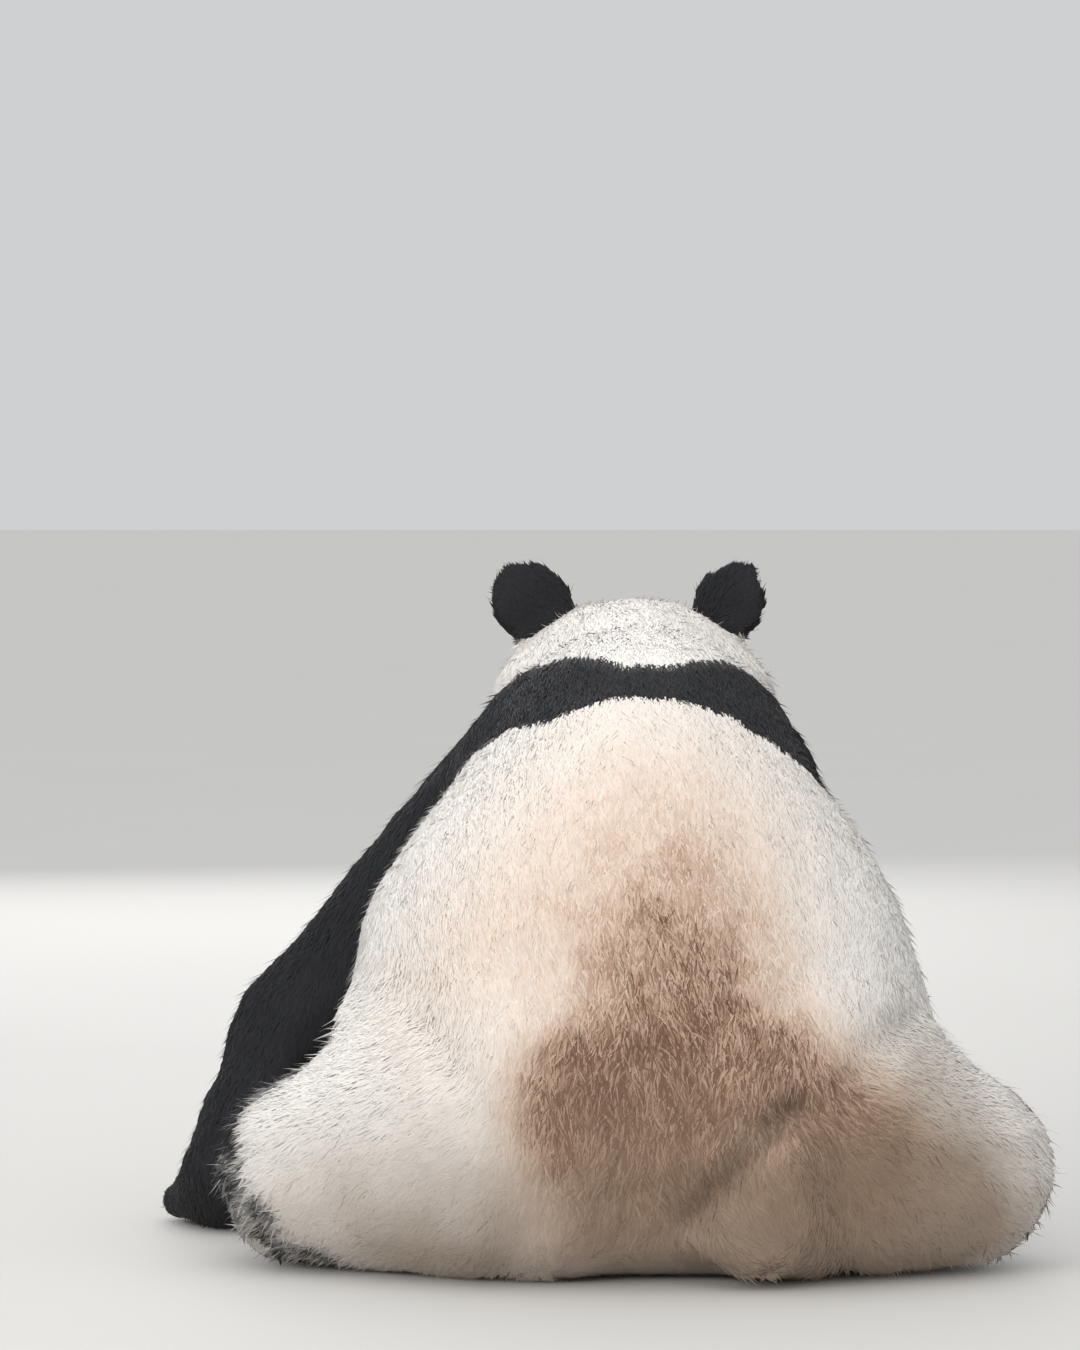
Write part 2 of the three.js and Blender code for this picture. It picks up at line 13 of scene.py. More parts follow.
import bpy
import numpy as np
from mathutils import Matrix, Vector


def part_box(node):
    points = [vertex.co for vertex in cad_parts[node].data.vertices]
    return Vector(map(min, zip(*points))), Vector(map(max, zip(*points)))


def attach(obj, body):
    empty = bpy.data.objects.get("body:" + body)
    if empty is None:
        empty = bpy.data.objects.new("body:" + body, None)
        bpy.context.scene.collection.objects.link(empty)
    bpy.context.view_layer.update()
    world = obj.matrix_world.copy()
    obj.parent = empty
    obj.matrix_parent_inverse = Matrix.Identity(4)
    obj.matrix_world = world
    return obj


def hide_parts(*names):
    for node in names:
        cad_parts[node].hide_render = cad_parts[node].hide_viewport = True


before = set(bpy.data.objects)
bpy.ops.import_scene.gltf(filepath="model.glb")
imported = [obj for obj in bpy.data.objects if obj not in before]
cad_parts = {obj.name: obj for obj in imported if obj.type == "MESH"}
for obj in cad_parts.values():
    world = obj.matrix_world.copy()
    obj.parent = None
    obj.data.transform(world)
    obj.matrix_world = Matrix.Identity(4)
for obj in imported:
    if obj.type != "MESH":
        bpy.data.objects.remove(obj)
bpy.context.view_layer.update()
LOG = logging.getLogger("panda")

Array = np.ndarray
Place = tuple[float, float, float]
Colour = tuple[float, float, float]
Socket = bpy.types.NodeSocket
SIDES = {"left": 1.0, "right": -1.0}
TOES = range(1, 6)
FAR = 9.0  # metres, farther than any place of the animal
FLOOR_GAP = 0.0015  # how far above the floor the lowest hair lies
SKIN_GAP = 0.002  # how far above the floor the lowest skin lies


# ------------------------------------------------------------------ vectors, noise and meshes


def unit(vectors: Array) -> Array:
    """Vectors scaled to length one."""
    return vectors / np.maximum(np.linalg.norm(vectors, axis=-1, keepdims=True), 1e-12)


def dot(a: Array, b: Array) -> Array:
    """Row by row products of two lists of vectors."""
    return np.sum(a * b, axis=-1)


def ease(value: Array, low: float, high: float) -> Array:
    """A smooth S from 0 to 1, which is 3t squared less 2t cubed.

    Args:
        value: the numbers to read.
        low: where the result starts to leave 0; it may be above high.
        high: where the result reaches 1.

    Returns:
        Numbers from 0 to 1.
    """
    t = np.clip((value - low) / (high - low), 0.0, 1.0)
    return t * t * (3.0 - 2.0 * t)


def bell(value: Array, spread: float) -> Array:
    """1 at zero, falling off on both sides as a bell of the given spread."""
    return np.exp(-((value / spread) ** 2))


def hashed(cells: Array, seed: int) -> Array:
    """Mixes the bits of whole numbers into fixed pseudo-random numbers.

    Args:
        cells: lattice cells, three whole numbers each.
        seed: which mix of many.

    Returns:
        A number from 0 to 1 for each cell.
    """
    c = cells.astype(np.int64)
    mixed = c[..., 0] * 73856093 ^ c[..., 1] * 19349663 ^ c[..., 2] * 83492791 ^ seed * 2654435761
    mixed = (mixed ^ (mixed >> 13)) * 1274126177
    mixed = (mixed ^ (mixed >> 16)) & 0xFFFFFF
    return mixed / float(0xFFFFFF)


def noise(points: Array, size: float, seed: int) -> Array:
    """Smooth noise from -1 to 1: random values on a cubic lattice, eased across each cube.

    Args:
        points: places in metres.
        size: side of a lattice cube in metres.
        seed: which noise of many.

    Returns:
        One value for each place.
    """
    cell = np.floor(points / size)
    part = points / size - cell
    part = part * part * (3.0 - 2.0 * part)
    total = np.zeros(len(points))
    for corner in product((0, 1), repeat=3):
        share = np.prod(np.where(np.array(corner) == 1, part, 1.0 - part), axis=1)
        total += share * hashed(cell + np.array(corner), seed)
    return 2.0 * total - 1.0


def nearest_seed(points: Array, size: float, seed: int) -> Array:
    """The nearest of the places scattered one to each cube of a lattice.

    Args:
        points: places in metres.
        size: side of a lattice cube in metres.
        seed: which scatter of many.

    Returns:
        The nearest scattered place for each point.
    """
    cell = np.floor(points / size)
    best = np.full(len(points), np.inf)
    chosen = points.copy()
    for step in product((-1, 0, 1), repeat=3):
        near = cell + np.array(step)
        place = np.stack([near[:, k] + hashed(near, seed + 7 * k) for k in range(3)], axis=1) * size
        gap = np.sum((place - points) ** 2, axis=1)
        closer = gap < best
        best = np.where(closer, gap, best)
        chosen = np.where(closer[:, None], place, chosen)
    return chosen


def distance_to_segment(points: Array, start: Array, end: Array) -> Array:
    """How far each point is from the straight stretch between two places.

    Args:
        points: places, in two or three numbers each.
        start: one end of the stretch.
        end: its other end.

    Returns:
        One distance for each point.
    """
    way = end - start
    t = np.clip((points - start) @ way / max(way @ way, 1e-12), 0.0, 1.0)
    return np.linalg.norm(points - start - t[:, None] * way, axis=1)


def distance_to_line(points: Array, line: Array) -> Array:
    """How far each point is from the nearest stretch of a bent line of places."""
    gaps = [distance_to_segment(points, a, b) for a, b in zip(line[:-1], line[1:])]
    return np.minimum.reduce(gaps)


@dataclass
class Surface:
    """A triangle mesh as arrays: places, and triangles that are indices of places."""

    points: Array
    faces: Array

    def edges(self) -> Array:
        """Each edge once, as a pair of indices in rising order."""
        f = self.faces
        pairs = np.sort(np.concatenate([f[:, [0, 1]], f[:, [1, 2]], f[:, [2, 0]]]), axis=1)
        return np.unique(pairs, axis=0)

    def face_cross(self) -> Array:
        """The cross product of two sides of each triangle: its normal times twice its area."""
        a, b, c = (self.points[self.faces[:, k]] for k in range(3))
        return np.cross(b - a, c - a)

    def normals(self) -> Array:
        """Normals at the places, from the triangles round each, weighted by area."""
        cross = self.face_cross()
        total = np.zeros_like(self.points)
        for corner in range(3):
            for k in range(3):
                total[:, k] += np.bincount(self.faces[:, corner], cross[:, k], len(self.points))
        return unit(total)

    def merged(self, digits: int = 6) -> "Surface":
        """The same surface with places that coincide made one.

        Args:
            digits: how many decimals of a metre count.

        Returns:
            The surface without triangles that have shrunk to nothing.
        """
        _, first, back = np.unique(
            np.round(self.points, digits), axis=0, return_index=True, return_inverse=True
        )
        faces = back.reshape(-1)[self.faces]
        whole = (faces[:, 0] != faces[:, 1]) & (faces[:, 1] != faces[:, 2]) & (faces[:, 2] != faces[:, 0])
        return Surface(self.points[first], faces[whole])

    def largest_shell(self) -> "Surface":
        """Keeps the connected shell with the most places.

        Every place starts with a label of its own, and the lowest label spreads along the edges until
        nothing changes.

        Returns:
            That shell alone.
        """
        edges = self.edges()
        label = np.arange(len(self.points))
        while True:
            before = label.copy()
            low = np.minimum(label[edges[:, 0]], label[edges[:, 1]])
            np.minimum.at(label, edges[:, 0], low)
            np.minimum.at(label, edges[:, 1], low)
            label = label[label]
            if np.array_equal(before, label):
                break
        kept = label == np.bincount(label).argmax()
        return self.part(kept[self.faces].all(axis=1))

    def part(self, chosen: Array) -> "Surface":
        """The chosen triangles as a surface of their own."""
        used, back = np.unique(self.faces[chosen], return_inverse=True)
        return Surface(self.points[used], back.reshape(-1, 3))

    def refined(self, chosen: Array) -> "Surface":
        """The surface with every edge of the chosen triangles halved.

        A triangle with one, two or three halved edges becomes two, three or four triangles, so that
        the surface stays closed.

        Args:
            chosen: which triangles to divide.

        Returns:
            The finer surface; the old places keep their indices.
        """
        f = self.faces
        n = len(self.points)
        sides = [f[:, [0, 1]], f[:, [1, 2]], f[:, [2, 0]]]
        keys = [np.sort(s, axis=1) @ np.array([n, 1]) for s in sides]
        split = np.unique(np.concatenate([k[chosen] for k in keys]))
        a, b = split // n, split % n
        points = np.concatenate([self.points, (self.points[a] + self.points[b]) / 2.0])
        middle = []
        for key in keys:
            at = np.clip(np.searchsorted(split, key), 0, len(split) - 1)
            middle.append(np.where(split[at] == key, n + at, -1))
        count = sum((m >= 0).astype(int) for m in middle)
        made = [f[count == 0]]
        p, q, r = f.T
        u, v, w = middle
        whole = count == 3
        for tri in ((p, u, w), (u, q, v), (w, v, r), (u, v, w)):
            made.append(np.stack([t[whole] for t in tri], axis=1))
        for turn in range(3):
            c = [f[:, (turn + k) % 3] for k in range(3)]
            m = [middle[(turn + k) % 3] for k in range(3)]
            one = (count == 1) & (m[0] >= 0)
            for tri in ((c[0], m[0], c[2]), (m[0], c[1], c[2])):
                made.append(np.stack([t[one] for t in tri], axis=1))
            two = (count == 2) & (m[0] >= 0) & (m[1] >= 0)
            for tri in ((c[0], m[0], m[1]), (m[0], c[1], m[1]), (c[0], m[1], c[2])):
                made.append(np.stack([t[two] for t in tri], axis=1))
        return Surface(points, np.concatenate(made))


class Web:
    """The edges of a surface, kept ready for spreading values over it."""

    def __init__(self, surface: Surface) -> None:
        """Args: surface: the mesh whose edges are used."""
        self.edges = surface.edges()
        self.count = len(surface.points)
        self.degree = np.maximum(np.bincount(self.edges.ravel(), minlength=self.count), 1)

    def average(self, values: Array) -> Array:
        """The mean of the neighbours' values at each place.

        Args:
            values: a number or vector for each place.

        Returns:
            As many means, of the same shape.
        """
        a, b = self.edges.T
        columns = values.reshape(self.count, -1)
        total = [
            np.bincount(a, columns[b, k], self.count) + np.bincount(b, columns[a, k], self.count)
            for k in range(columns.shape[1])
        ]
        return (np.stack(total, axis=1) / self.degree[:, None]).reshape(values.shape)

    def settled(self, points: Array, rounds: int, strength: Array) -> Array:
        """Points smoothed without shrinking: each round pulls towards the neighbours, then back.

        Args:
            points: the places.
            rounds: how many rounds.
            strength: from 0 to 1 for each place.

        Returns:
            The smoothed places.
        """
        pull = strength[:, None]
        for _ in range(rounds):
            points = points + 0.5 * pull * (self.average(points) - points)
            points = points - 0.52 * pull * (self.average(points) - points)
        return points


def mesh_object(name: str, surface: Surface, smooth: bool = True) -> bpy.types.Object:
    """Puts a surface into a new Blender object at the origin.

    Args:
        name: the piece's name.
        surface: its places and triangles or quads.
        smooth: whether its faces are shaded smooth.

    Returns:
        The new object, linked to the scene.
    """
    mesh = bpy.data.meshes.new(name)
    faces = np.ascontiguousarray(surface.faces, dtype=np.int32)
    mesh.vertices.add(len(surface.points))
    mesh.vertices.foreach_set("co", np.ascontiguousarray(surface.points, dtype=np.float32).ravel())
    mesh.loops.add(faces.size)
    mesh.loops.foreach_set("vertex_index", faces.ravel())
    mesh.polygons.add(len(faces))
    mesh.polygons.foreach_set("loop_start", np.arange(0, faces.size, faces.shape[1], dtype=np.int32))
    mesh.polygons.foreach_set("use_smooth", np.full(len(faces), smooth))
    mesh.update(calc_edges=True)
    obj = bpy.data.objects.new(name, mesh)
    bpy.context.scene.collection.objects.link(obj)
    return obj


def join(shapes: list[Surface]) -> Surface:
    """Several surfaces as one, with their places one after another."""
    starts = np.cumsum([0] + [len(shape.points) for shape in shapes[:-1]])
    faces = [shape.faces + start for shape, start in zip(shapes, starts)]
    return Surface(np.concatenate([shape.points for shape in shapes]), np.concatenate(faces))


def closed_shape(points: Array, faces: Array) -> Surface:
    """A closed surface whose triangles all face out.

    Its volume, summed over the tents between the middle and each triangle, has to come out positive.

    Args:
        points: its places.
        faces: its triangles, all turned the same way.

    Returns:
        The surface, turned inside out if its volume was negative.
    """
    a, b, c = (points[faces[:, k]] - points.mean(axis=0) for k in range(3))
    volume = dot(a, np.cross(b, c)).sum()
    return Surface(points, faces if volume > 0.0 else faces[:, ::-1])


def set_attribute(obj: bpy.types.Object, name: str, values: Array) -> None:
    """Stores one number for each place of a piece, for its material to read."""
    layer = obj.data.attributes.new(name, "FLOAT", "POINT")
    layer.data.foreach_set("value", np.ascontiguousarray(values, dtype=np.float32))


def read_surface(mesh: bpy.types.Mesh) -> Surface:
    """Reads a Blender mesh.

    Args:
        mesh: any mesh.

    Returns:
        Its places and triangles as arrays.
    """
    mesh.calc_loop_triangles()
    points = np.empty(len(mesh.vertices) * 3)
    mesh.vertices.foreach_get("co", points)
    faces = np.empty(len(mesh.loop_triangles) * 3, dtype=np.int64)
    mesh.loop_triangles.foreach_get("vertices", faces)
    return Surface(points.reshape(-1, 3), faces.reshape(-1, 3))


def finish_piece(obj: bpy.types.Object, material: bpy.types.Material, slot: str, *nodes: str) -> None:
    """Dresses a piece, lets it ride on the one body and logs its slot.

    Args:
        obj: the piece.
        material: what it is dressed with.
        slot: the name of its material slot, which is only logged.
        nodes: the solids that it stands for.
    """
    obj.data.materials.append(material)
    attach(obj, "root")
    if nodes:
        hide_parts(*nodes)
    LOG.info("%s: %d faces, slot %s", obj.name, len(obj.data.polygons), slot)


# ------------------------------------------------------------------ anatomy from the frame


@dataclass(frozen=True)
class HeadPlaces:
    """Places of the head, told as left, forward and up from the middle of the skull."""

    pitch: float = np.radians(25.0)
    centre: Place = (0.004, -0.510, 0.616)
    eye_side: float = 0.054
    eye_forward: float = 0.120
    eye_up: float = 0.020
    eye_radius: float = 0.0125
    eye_sink: float = 0.004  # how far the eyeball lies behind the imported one
    sight: Place = (0.34, 1.0, -0.02)


class Part(Enum):
    """The stretches of the body that differ in the length and the lie of their hair."""

    TRUNK = "trunk"
    NECK = "neck"
    HEAD = "head"
    EAR_LEFT = "ear_left"
    EAR_RIGHT = "ear_right"
    TAIL = "tail"
    UPPER_ARM_LEFT = "upper_arm_left"
    UPPER_ARM_RIGHT = "upper_arm_right"
    FOREARM_LEFT = "forearm_left"
    FOREARM_RIGHT = "forearm_right"
    FOREPAW_LEFT = "forepaw_left"
    FOREPAW_RIGHT = "forepaw_right"
    THIGH_LEFT = "thigh_left"
    THIGH_RIGHT = "thigh_right"
    SHIN_LEFT = "shin_left"
    SHIN_RIGHT = "shin_right"
    HIND_FOOT_LEFT = "hind_foot_left"
    HIND_FOOT_RIGHT = "hind_foot_right"


PARTS = list(Part)
FLESH = [part.value for part in PARTS]
LIMBS = {"fore": "wrist", "hind": "ankle"}  # each paw and the joint behind it


def paired(name: str, side: str) -> Part:
    """The part of that name on one side."""
    return Part[f"{name}_{side}".upper()]


def share_of(shares: Array, *parts: Part) -> Array:
    """How much the given parts own each point together."""
    return shares[:, [PARTS.index(part) for part in parts]].sum(axis=1)


class Anatomy:
    """Joints, bones and the head's own axes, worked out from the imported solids."""

    def __init__(self) -> None:
        """Reads every node once and finds where neighbours meet."""
        self.solids = {name: read_surface(obj.data).merged(5) for name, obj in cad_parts.items()}
        self.head = HeadPlaces()
        c, s = np.cos(self.head.pitch), np.sin(self.head.pitch)
        self.head_axes = np.array([[1.0, 0.0, 0.0], [0.0, -c, -s], [0.0, -s, c]])
        centres = {side: self.centre_of(f"eye_{side}") for side in SIDES}
        eye_place = np.array([0.0, self.head.eye_forward, self.head.eye_up])
        self.skull = (centres["left"] + centres["right"]) / 2.0 - eye_place @ self.head_axes
        self.eyes = {side: centres[side] - self.head.eye_sink * self.sight(side) for side in SIDES}
        self.origin = self.skull - np.array(self.head.centre)
        self.joints = self._joints()
        self.bones = self._bones()
        LOG.info("pitch %.2f rad, origin %s", self.head.pitch, np.round(self.origin, 4))

    def sight(self, side: str) -> Array:
        """The way an eye looks: forwards and a little outwards."""
        outward, ahead, up = self.head.sight
        return unit(np.array([outward * SIDES[side], ahead, up])) @ self.head_axes

    def centre_of(self, node: str) -> Array:
        """The middle of a node's box."""
        low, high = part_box(node)
        return (np.array(low) + np.array(high)) / 2.0

    def meeting(self, first: str, second: str, reach: float = 0.0025) -> Array:
        """Where one node lies against another.

        Args:
            first: the node whose places are used.
            second: its neighbour.
            reach: how close counts as touching.

        Returns:
            The middle of the first node's touching places.
        """
        a, b = self.solids[first].points, self.solids[second].points
        gap = np.sqrt(((a[:, None] - b[None]) ** 2).sum(axis=2)).min(axis=1)
        return a[gap < reach].mean(axis=0)

    def far_end(self, node: str, joint: Array, share: float = 0.3) -> Array:
        """Where a node ends away from a joint.

        Args:
            node: the node.
            joint: a place at its other end.
            share: how much of the node counts as its end.

        Returns:
            The middle of that share of its places that is farthest from the joint.
        """
        points = self.solids[node].points
        gap = np.linalg.norm(points - joint, axis=1)
        return points[gap >= np.quantile(gap, 1.0 - share)].mean(axis=0)

    def toes(self, limb: str, side: str) -> Array:
        """The middles of the five claws of one paw."""
        return np.array([self.centre_of(f"claw_{limb}_{side}_{i}") for i in TOES])

    def claws(self) -> Array:
        """The middles of all twenty claws."""
        return np.concatenate([self.toes(limb, side) for side in SIDES for limb in LIMBS])

    def paw_axes(self, limb: str, side: str) -> Array:
        """The ways across, along and up out of a paw; a forepaw lies level.

        Args:
            limb: fore or hind.
            side: left or right.

        Returns:
            The three ways as rows.
        """
        claws = self.toes(limb, side)
        ahead = unit(claws.mean(axis=0) - self.joints[f"{LIMBS[limb]}_{side}"])
        if limb == "fore":
            ahead = unit(ahead * np.array([1.0, 1.0, 0.0]))
        spread = claws[-1] - claws[0]
        aside = unit(spread - (spread @ ahead) * ahead)
        return np.stack([aside, ahead, np.cross(ahead, aside)])

    def _joints(self) -> dict[str, Array]:
        """The places where the lengths of the body meet."""
        made = {"collar": self.meeting("trunk", "neck"), "occiput": self.meeting("neck", "head")}
        for side in SIDES:
            elbow = self.meeting(f"upper_arm_{side}", f"forearm_{side}")
            knee = self.meeting(f"thigh_{side}", f"shin_{side}")
            made |= {
                f"elbow_{side}": elbow,
                f"shoulder_{side}": self.far_end(f"upper_arm_{side}", elbow),
                f"wrist_{side}": self.meeting(f"forearm_{side}", f"forepaw_{side}"),
                f"fingers_{side}": self.toes("fore", side).mean(axis=0),
                f"knee_{side}": knee,
                f"hip_{side}": self.far_end(f"thigh_{side}", knee),
                f"ankle_{side}": self.meeting(f"shin_{side}", f"hind_foot_{side}"),
                f"toes_{side}": self.toes("hind", side).mean(axis=0),
            }
        made["pelvis"] = (made["hip_left"] + made["hip_right"]) / 2.0
        made["nose"] = self.centre_of("nose")
        return made

    def _bones(self) -> dict[Part, tuple[Array, Array, float]]:
        """For each part the two ends of its middle line and its half thickness."""
        j = self.joints
        tail_low, tail_high = (np.array(corner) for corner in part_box("tail"))
        tail = (tail_low + tail_high) / 2.0
        half = np.array([0.0, 0.0, (tail_high[2] - tail_low[2]) * 0.3])
        bones = {
            Part.TRUNK: (j["pelvis"], j["collar"], 0.25),
            Part.NECK: (j["collar"], j["occiput"], 0.14),
            Part.HEAD: (self.skull, self.skull + 0.12 * self.head_axes[1], 0.12),
            Part.TAIL: (tail + half, tail - half, 0.045),
        }
        for side in SIDES:
            ear = self.centre_of(f"ear_{side}")
            bones[paired("ear", side)] = (ear, ear, 0.055)
            for name, start, end, thick in (
                ("upper_arm", "shoulder", "elbow", 0.10),
                ("forearm", "elbow", "wrist", 0.075),
                ("forepaw", "wrist", "fingers", 0.055),
                ("thigh", "hip", "knee", 0.14),
                ("shin", "knee", "ankle", 0.09),
                ("hind_foot", "ankle", "toes", 0.055),
            ):
                bones[paired(name, side)] = (j[f"{start}_{side}"], j[f"{end}_{side}"], thick)
        return bones

    def shares(self, points: Array, softness: float = 0.018) -> Array:
        """How much each part owns each point.

        Each part weighs e to the power of minus its distance over the softness, and the weights of a
        point are brought to a sum of 1.

        Args:
            points: places of the scene.
            softness: how gently one part gives way to the next, in metres.

        Returns:
            A row for each point with one share for each part.
        """
        depth = np.stack([distance_to_segment(points, a, b) - r for a, b, r in self.bones.values()], 1)
        order = [list(self.bones).index(part) for part in PARTS]
        weight = np.exp(-(depth[:, order] - depth.min(axis=1, keepdims=True)) / softness)
        return weight / weight.sum(axis=1, keepdims=True)

    def in_head(self, points: Array) -> Array:
        """Points as left, forward and up from the middle of the skull."""
        return (points - self.skull) @ self.head_axes.T


# ------------------------------------------------------------------ markings


@dataclass(frozen=True)
class Spot:
    """A soft stain: its middle in the animal's own frame, its spread and its strength."""

    middle: Place
    spread: float
    strength: float


STAINS = (
    Spot((0.000, 0.100, 0.560), 0.150, 0.21),
    Spot((0.100, 0.250, 0.400), 0.130, 0.20),
    Spot((0.030, -0.520, 0.740), 0.200, 0.10),
    Spot((-0.033, 0.194, 0.475), 0.095, 0.16),
    Spot((0.220, 0.200, 0.320), 0.090, 0.15),
    Spot((-0.028, 0.281, 0.345), 0.078, 0.70),
    Spot((0.096, 0.336, 0.202), 0.042, 1.70),
    Spot((0.042, 0.335, 0.232), 0.048, 0.80),
    Spot((-0.041, 0.325, 0.290), 0.050, 0.25),
    Spot((-0.130, 0.335, 0.235), 0.050, 0.90),
    Spot((-0.206, 0.320, 0.150), 0.052, 1.70),
    Spot((-0.020, 0.332, 0.170), 0.062, 1.20),
    Spot((0.060, 0.320, 0.100), 0.070, 0.60),
    Spot((0.080, 0.335, 0.157), 0.022, -0.40),
    Spot((-0.125, 0.365, 0.120), 0.060, 0.25),
)
# Spots of dust low on the body and on the right haunch; they also paint the shade there.
DIRT_AND_SHADE = (
    Spot((-0.275, 0.260, 0.120), 0.085, 0.45),
    Spot((-0.270, 0.260, 0.030), 0.100, 1.05),
    Spot((-0.120, 0.350, 0.080), 0.080, 0.45),
    Spot((-0.284, 0.200, 0.250), 0.060, 0.40),
    Spot((0.300, 0.250, 0.030), 0.095, 0.60),
    Spot((0.030, 0.320, 0.050), 0.130, 0.60),
)
# The line of the furrow beside the tail, which is pressed in and darkened with painted shade.
CLEFT = np.array([(-0.137, 0.330, 0.207), (-0.080, 0.335, 0.150), (-0.030, 0.320, 0.085)])


def spotted(q: Array, spots: tuple[Spot, ...]) -> Array:
    """Adds up soft spots, each its strength times e to the power of minus d squared over 2 spread squared.

    Args:
        q: places in the animal's own frame.
        spots: the spots.

    Returns:
        One number for each place.
    """
    return sum(
        s.strength * np.exp(-np.sum((q - np.array(s.middle)) ** 2, axis=1) / (2.0 * s.spread**2))
        for s in spots
    )


@dataclass(frozen=True)
class Shift:
    """How far an edge moves while a reading goes from one value to another."""

    metres: float
    start: float
    full: float

    def at(self, reading: Array) -> Array:
        """The move at each reading."""
        return self.metres * ease(reading, self.start, self.full)


@dataclass(frozen=True)
class Knee:
    """Where the black of a hind leg starts: metres before the knee, and how that shrinks with height."""

    before: float
    less_each_metre: float


@dataclass(frozen=True)
class Markings:
    """The black and white pattern of the species, with its stains and dust, and painted shade low on the body
    and in the furrow beside the tail, as smooth functions of place.
    """

    anatomy: Anatomy
    saddle_front: float = 0.353
    saddle_tilt: tuple[float, float] = (-0.93, 0.36)
    front_beside_nape: Shift = Shift(0.115, 8, 42)  # degrees round the neck from its top
    front_under_throat: Shift = Shift(0.16, 70, 115)
    saddle_rear: float = -0.035
    rear_below_withers: Shift = Shift(0.195, 0.56, 0.34)  # heights
    rear_at_elbows: Shift = Shift(0.19, 0.31, 0.22)
    rear_on_left: Shift = Shift(0.15, 0.115, 0.235)  # metres out from the middle
    rear_on_right: Shift = Shift(0.02, 0.10, 0.21)
    foreleg_margins: tuple[tuple[str, float], ...] = (
        ("upper_arm", 0.012),
        ("forearm", 0.03),
        ("forepaw", 0.06),
    )
    fillet: tuple[float, float] = (0.06, 0.015)  # its width and height between saddle and forelegs
    knees: tuple[Knee, Knee] = (Knee(0.060, 0.30), Knee(-0.045, 0.0))
    black_leg_reach: float = 0.125
    ear_radius: float = 0.055
    patch_long: float = 0.045
    patch_short: float = 0.027
    patch_shift: tuple[float, float] = (0.009, -0.010)  # outwards and up from the eye

    def forequarters(self, points: Array) -> Array:
        """Metres inside the black of the shoulders, the saddle band and the forelegs.

        The saddle lies between a front edge that is a tilted plane pushed forward with the angle round
        the neck, and a rear edge that is an upright plane drawn forward low down and on the left. The
        forelegs are tubes round their bones, joined to the saddle with a fillet.

        Args:
            points: places of the scene.

        Returns:
            Metres, positive inside the black.
        """
        x, y, z = (points - self.anatomy.origin).T
        slope = self.saddle_tilt[0] * y + self.saddle_tilt[1] * z
        angle = np.degrees(np.arctan2(np.abs(x), z - 0.50))
        front = self.saddle_front + self.front_beside_nape.at(angle) + self.front_under_throat.at(angle)
        rear = self.saddle_rear - self.rear_below_withers.at(z) - self.rear_at_elbows.at(z)
        rear -= self.rear_on_left.at(x) + self.rear_on_right.at(-x)
        inside = np.minimum(rear - y, front - slope)
        width, height = self.fillet
        for side in SIDES:
            for name, more in self.foreleg_margins:
                a, b, r = self.anatomy.bones[paired(name, side)]
                limb = r + more - distance_to_segment(points, a, b)
                near = np.maximum(width - np.abs(inside - limb), 0.0) / width
                inside = np.maximum(inside, limb) + height * near**2
        return inside

    def hindquarters(self, points: Array) -> Array:
        """Metres inside the black of the hind legs, from about the knee on, and of the whole feet.

        Args:
            points: places of the scene.

        Returns:
            Metres, positive inside the black.
        """
        joints, reach = self.anatomy.joints, self.black_leg_reach
        shares = self.anatomy.shares(points)
        inside = np.full(len(points), -1.0)
        for side, knee_edge in zip(SIDES, self.knees):
            leg = share_of(shares, *(paired(name, side) for name in ("thigh", "shin", "hind_foot")))
            foot_share = share_of(shares, paired("hind_foot", side))
            hip, knee, ankle, toes = (joints[f"{at}_{side}"] for at in ("hip", "knee", "ankle", "toes"))
            way = unit(unit(knee - hip) + unit(ankle - knee))
            back = knee_edge.before - knee_edge.less_each_metre * np.maximum(points[:, 2] - 0.05, 0.0)
            past = (points - knee) @ way + back
            shin = reach - distance_to_segment(points, knee, ankle)
            foot = reach - distance_to_segment(points, ankle, toes)
            heel = reach - np.linalg.norm(points - self.anatomy.centre_of(f"hind_foot_{side}"), axis=1)
            lower = np.minimum(np.minimum(past, np.maximum(shin, foot)), (leg - 0.45) * 0.1)
            inside = np.maximum.reduce([inside, lower, heel, (foot_share - 0.3) * 0.4])
        return inside

    def face(self, points: Array) -> Array:
        """Metres inside the balls round the ears and the ovals round the eyes, which droop outwards.

        Args:
            points: places of the scene.

        Returns:
            Metres, positive inside the black.
        """
        inside = np.full(len(points), -1.0)
        q = self.anatomy.in_head(points)
        for side, s in SIDES.items():
            ear = self.anatomy.centre_of(f"ear_{side}")
            outer = ease((points - ear) @ unit(ear - self.anatomy.skull), -0.01, 0.015)
            inside = np.maximum(inside, self.ear_radius + 0.02 * outer - np.linalg.norm(points - ear, axis=1))
            outward = s * q[:, 0] - self.anatomy.head.eye_side - self.patch_shift[0]
            upward = q[:, 2] - self.anatomy.head.eye_up - self.patch_shift[1]
            down = (outward - upward) / np.sqrt(2.0)
            over = (outward + upward) / np.sqrt(2.0)
            oval = np.sqrt((down / self.patch_long) ** 2 + (over / self.patch_short) ** 2)
            inside = np.maximum(inside, np.where(q[:, 1] > 0.05, (1.0 - oval) * self.patch_short, -1.0))
        return inside

    def black(self, points: Array, blur: float = 0.004) -> Array:
        """How black the coat is.

        Args:
            points: places of the scene.
            blur: half the width of the edge; the knees have a wider one of their own.

        Returns:
            0 for white, 1 for black, with a narrow ragged edge.
        """
        ragged = 0.005 * noise(points, 0.02, 3) + 0.003 * noise(points, 0.007, 4)
        sharp = np.maximum(self.forequarters(points) + ragged, self.face(points) + 0.3 * ragged)
        knees = ease(self.hindquarters(points) + 2.0 * ragged, -0.045, 0.015)
        return np.maximum(ease(sharp, -blur, blur), knees)

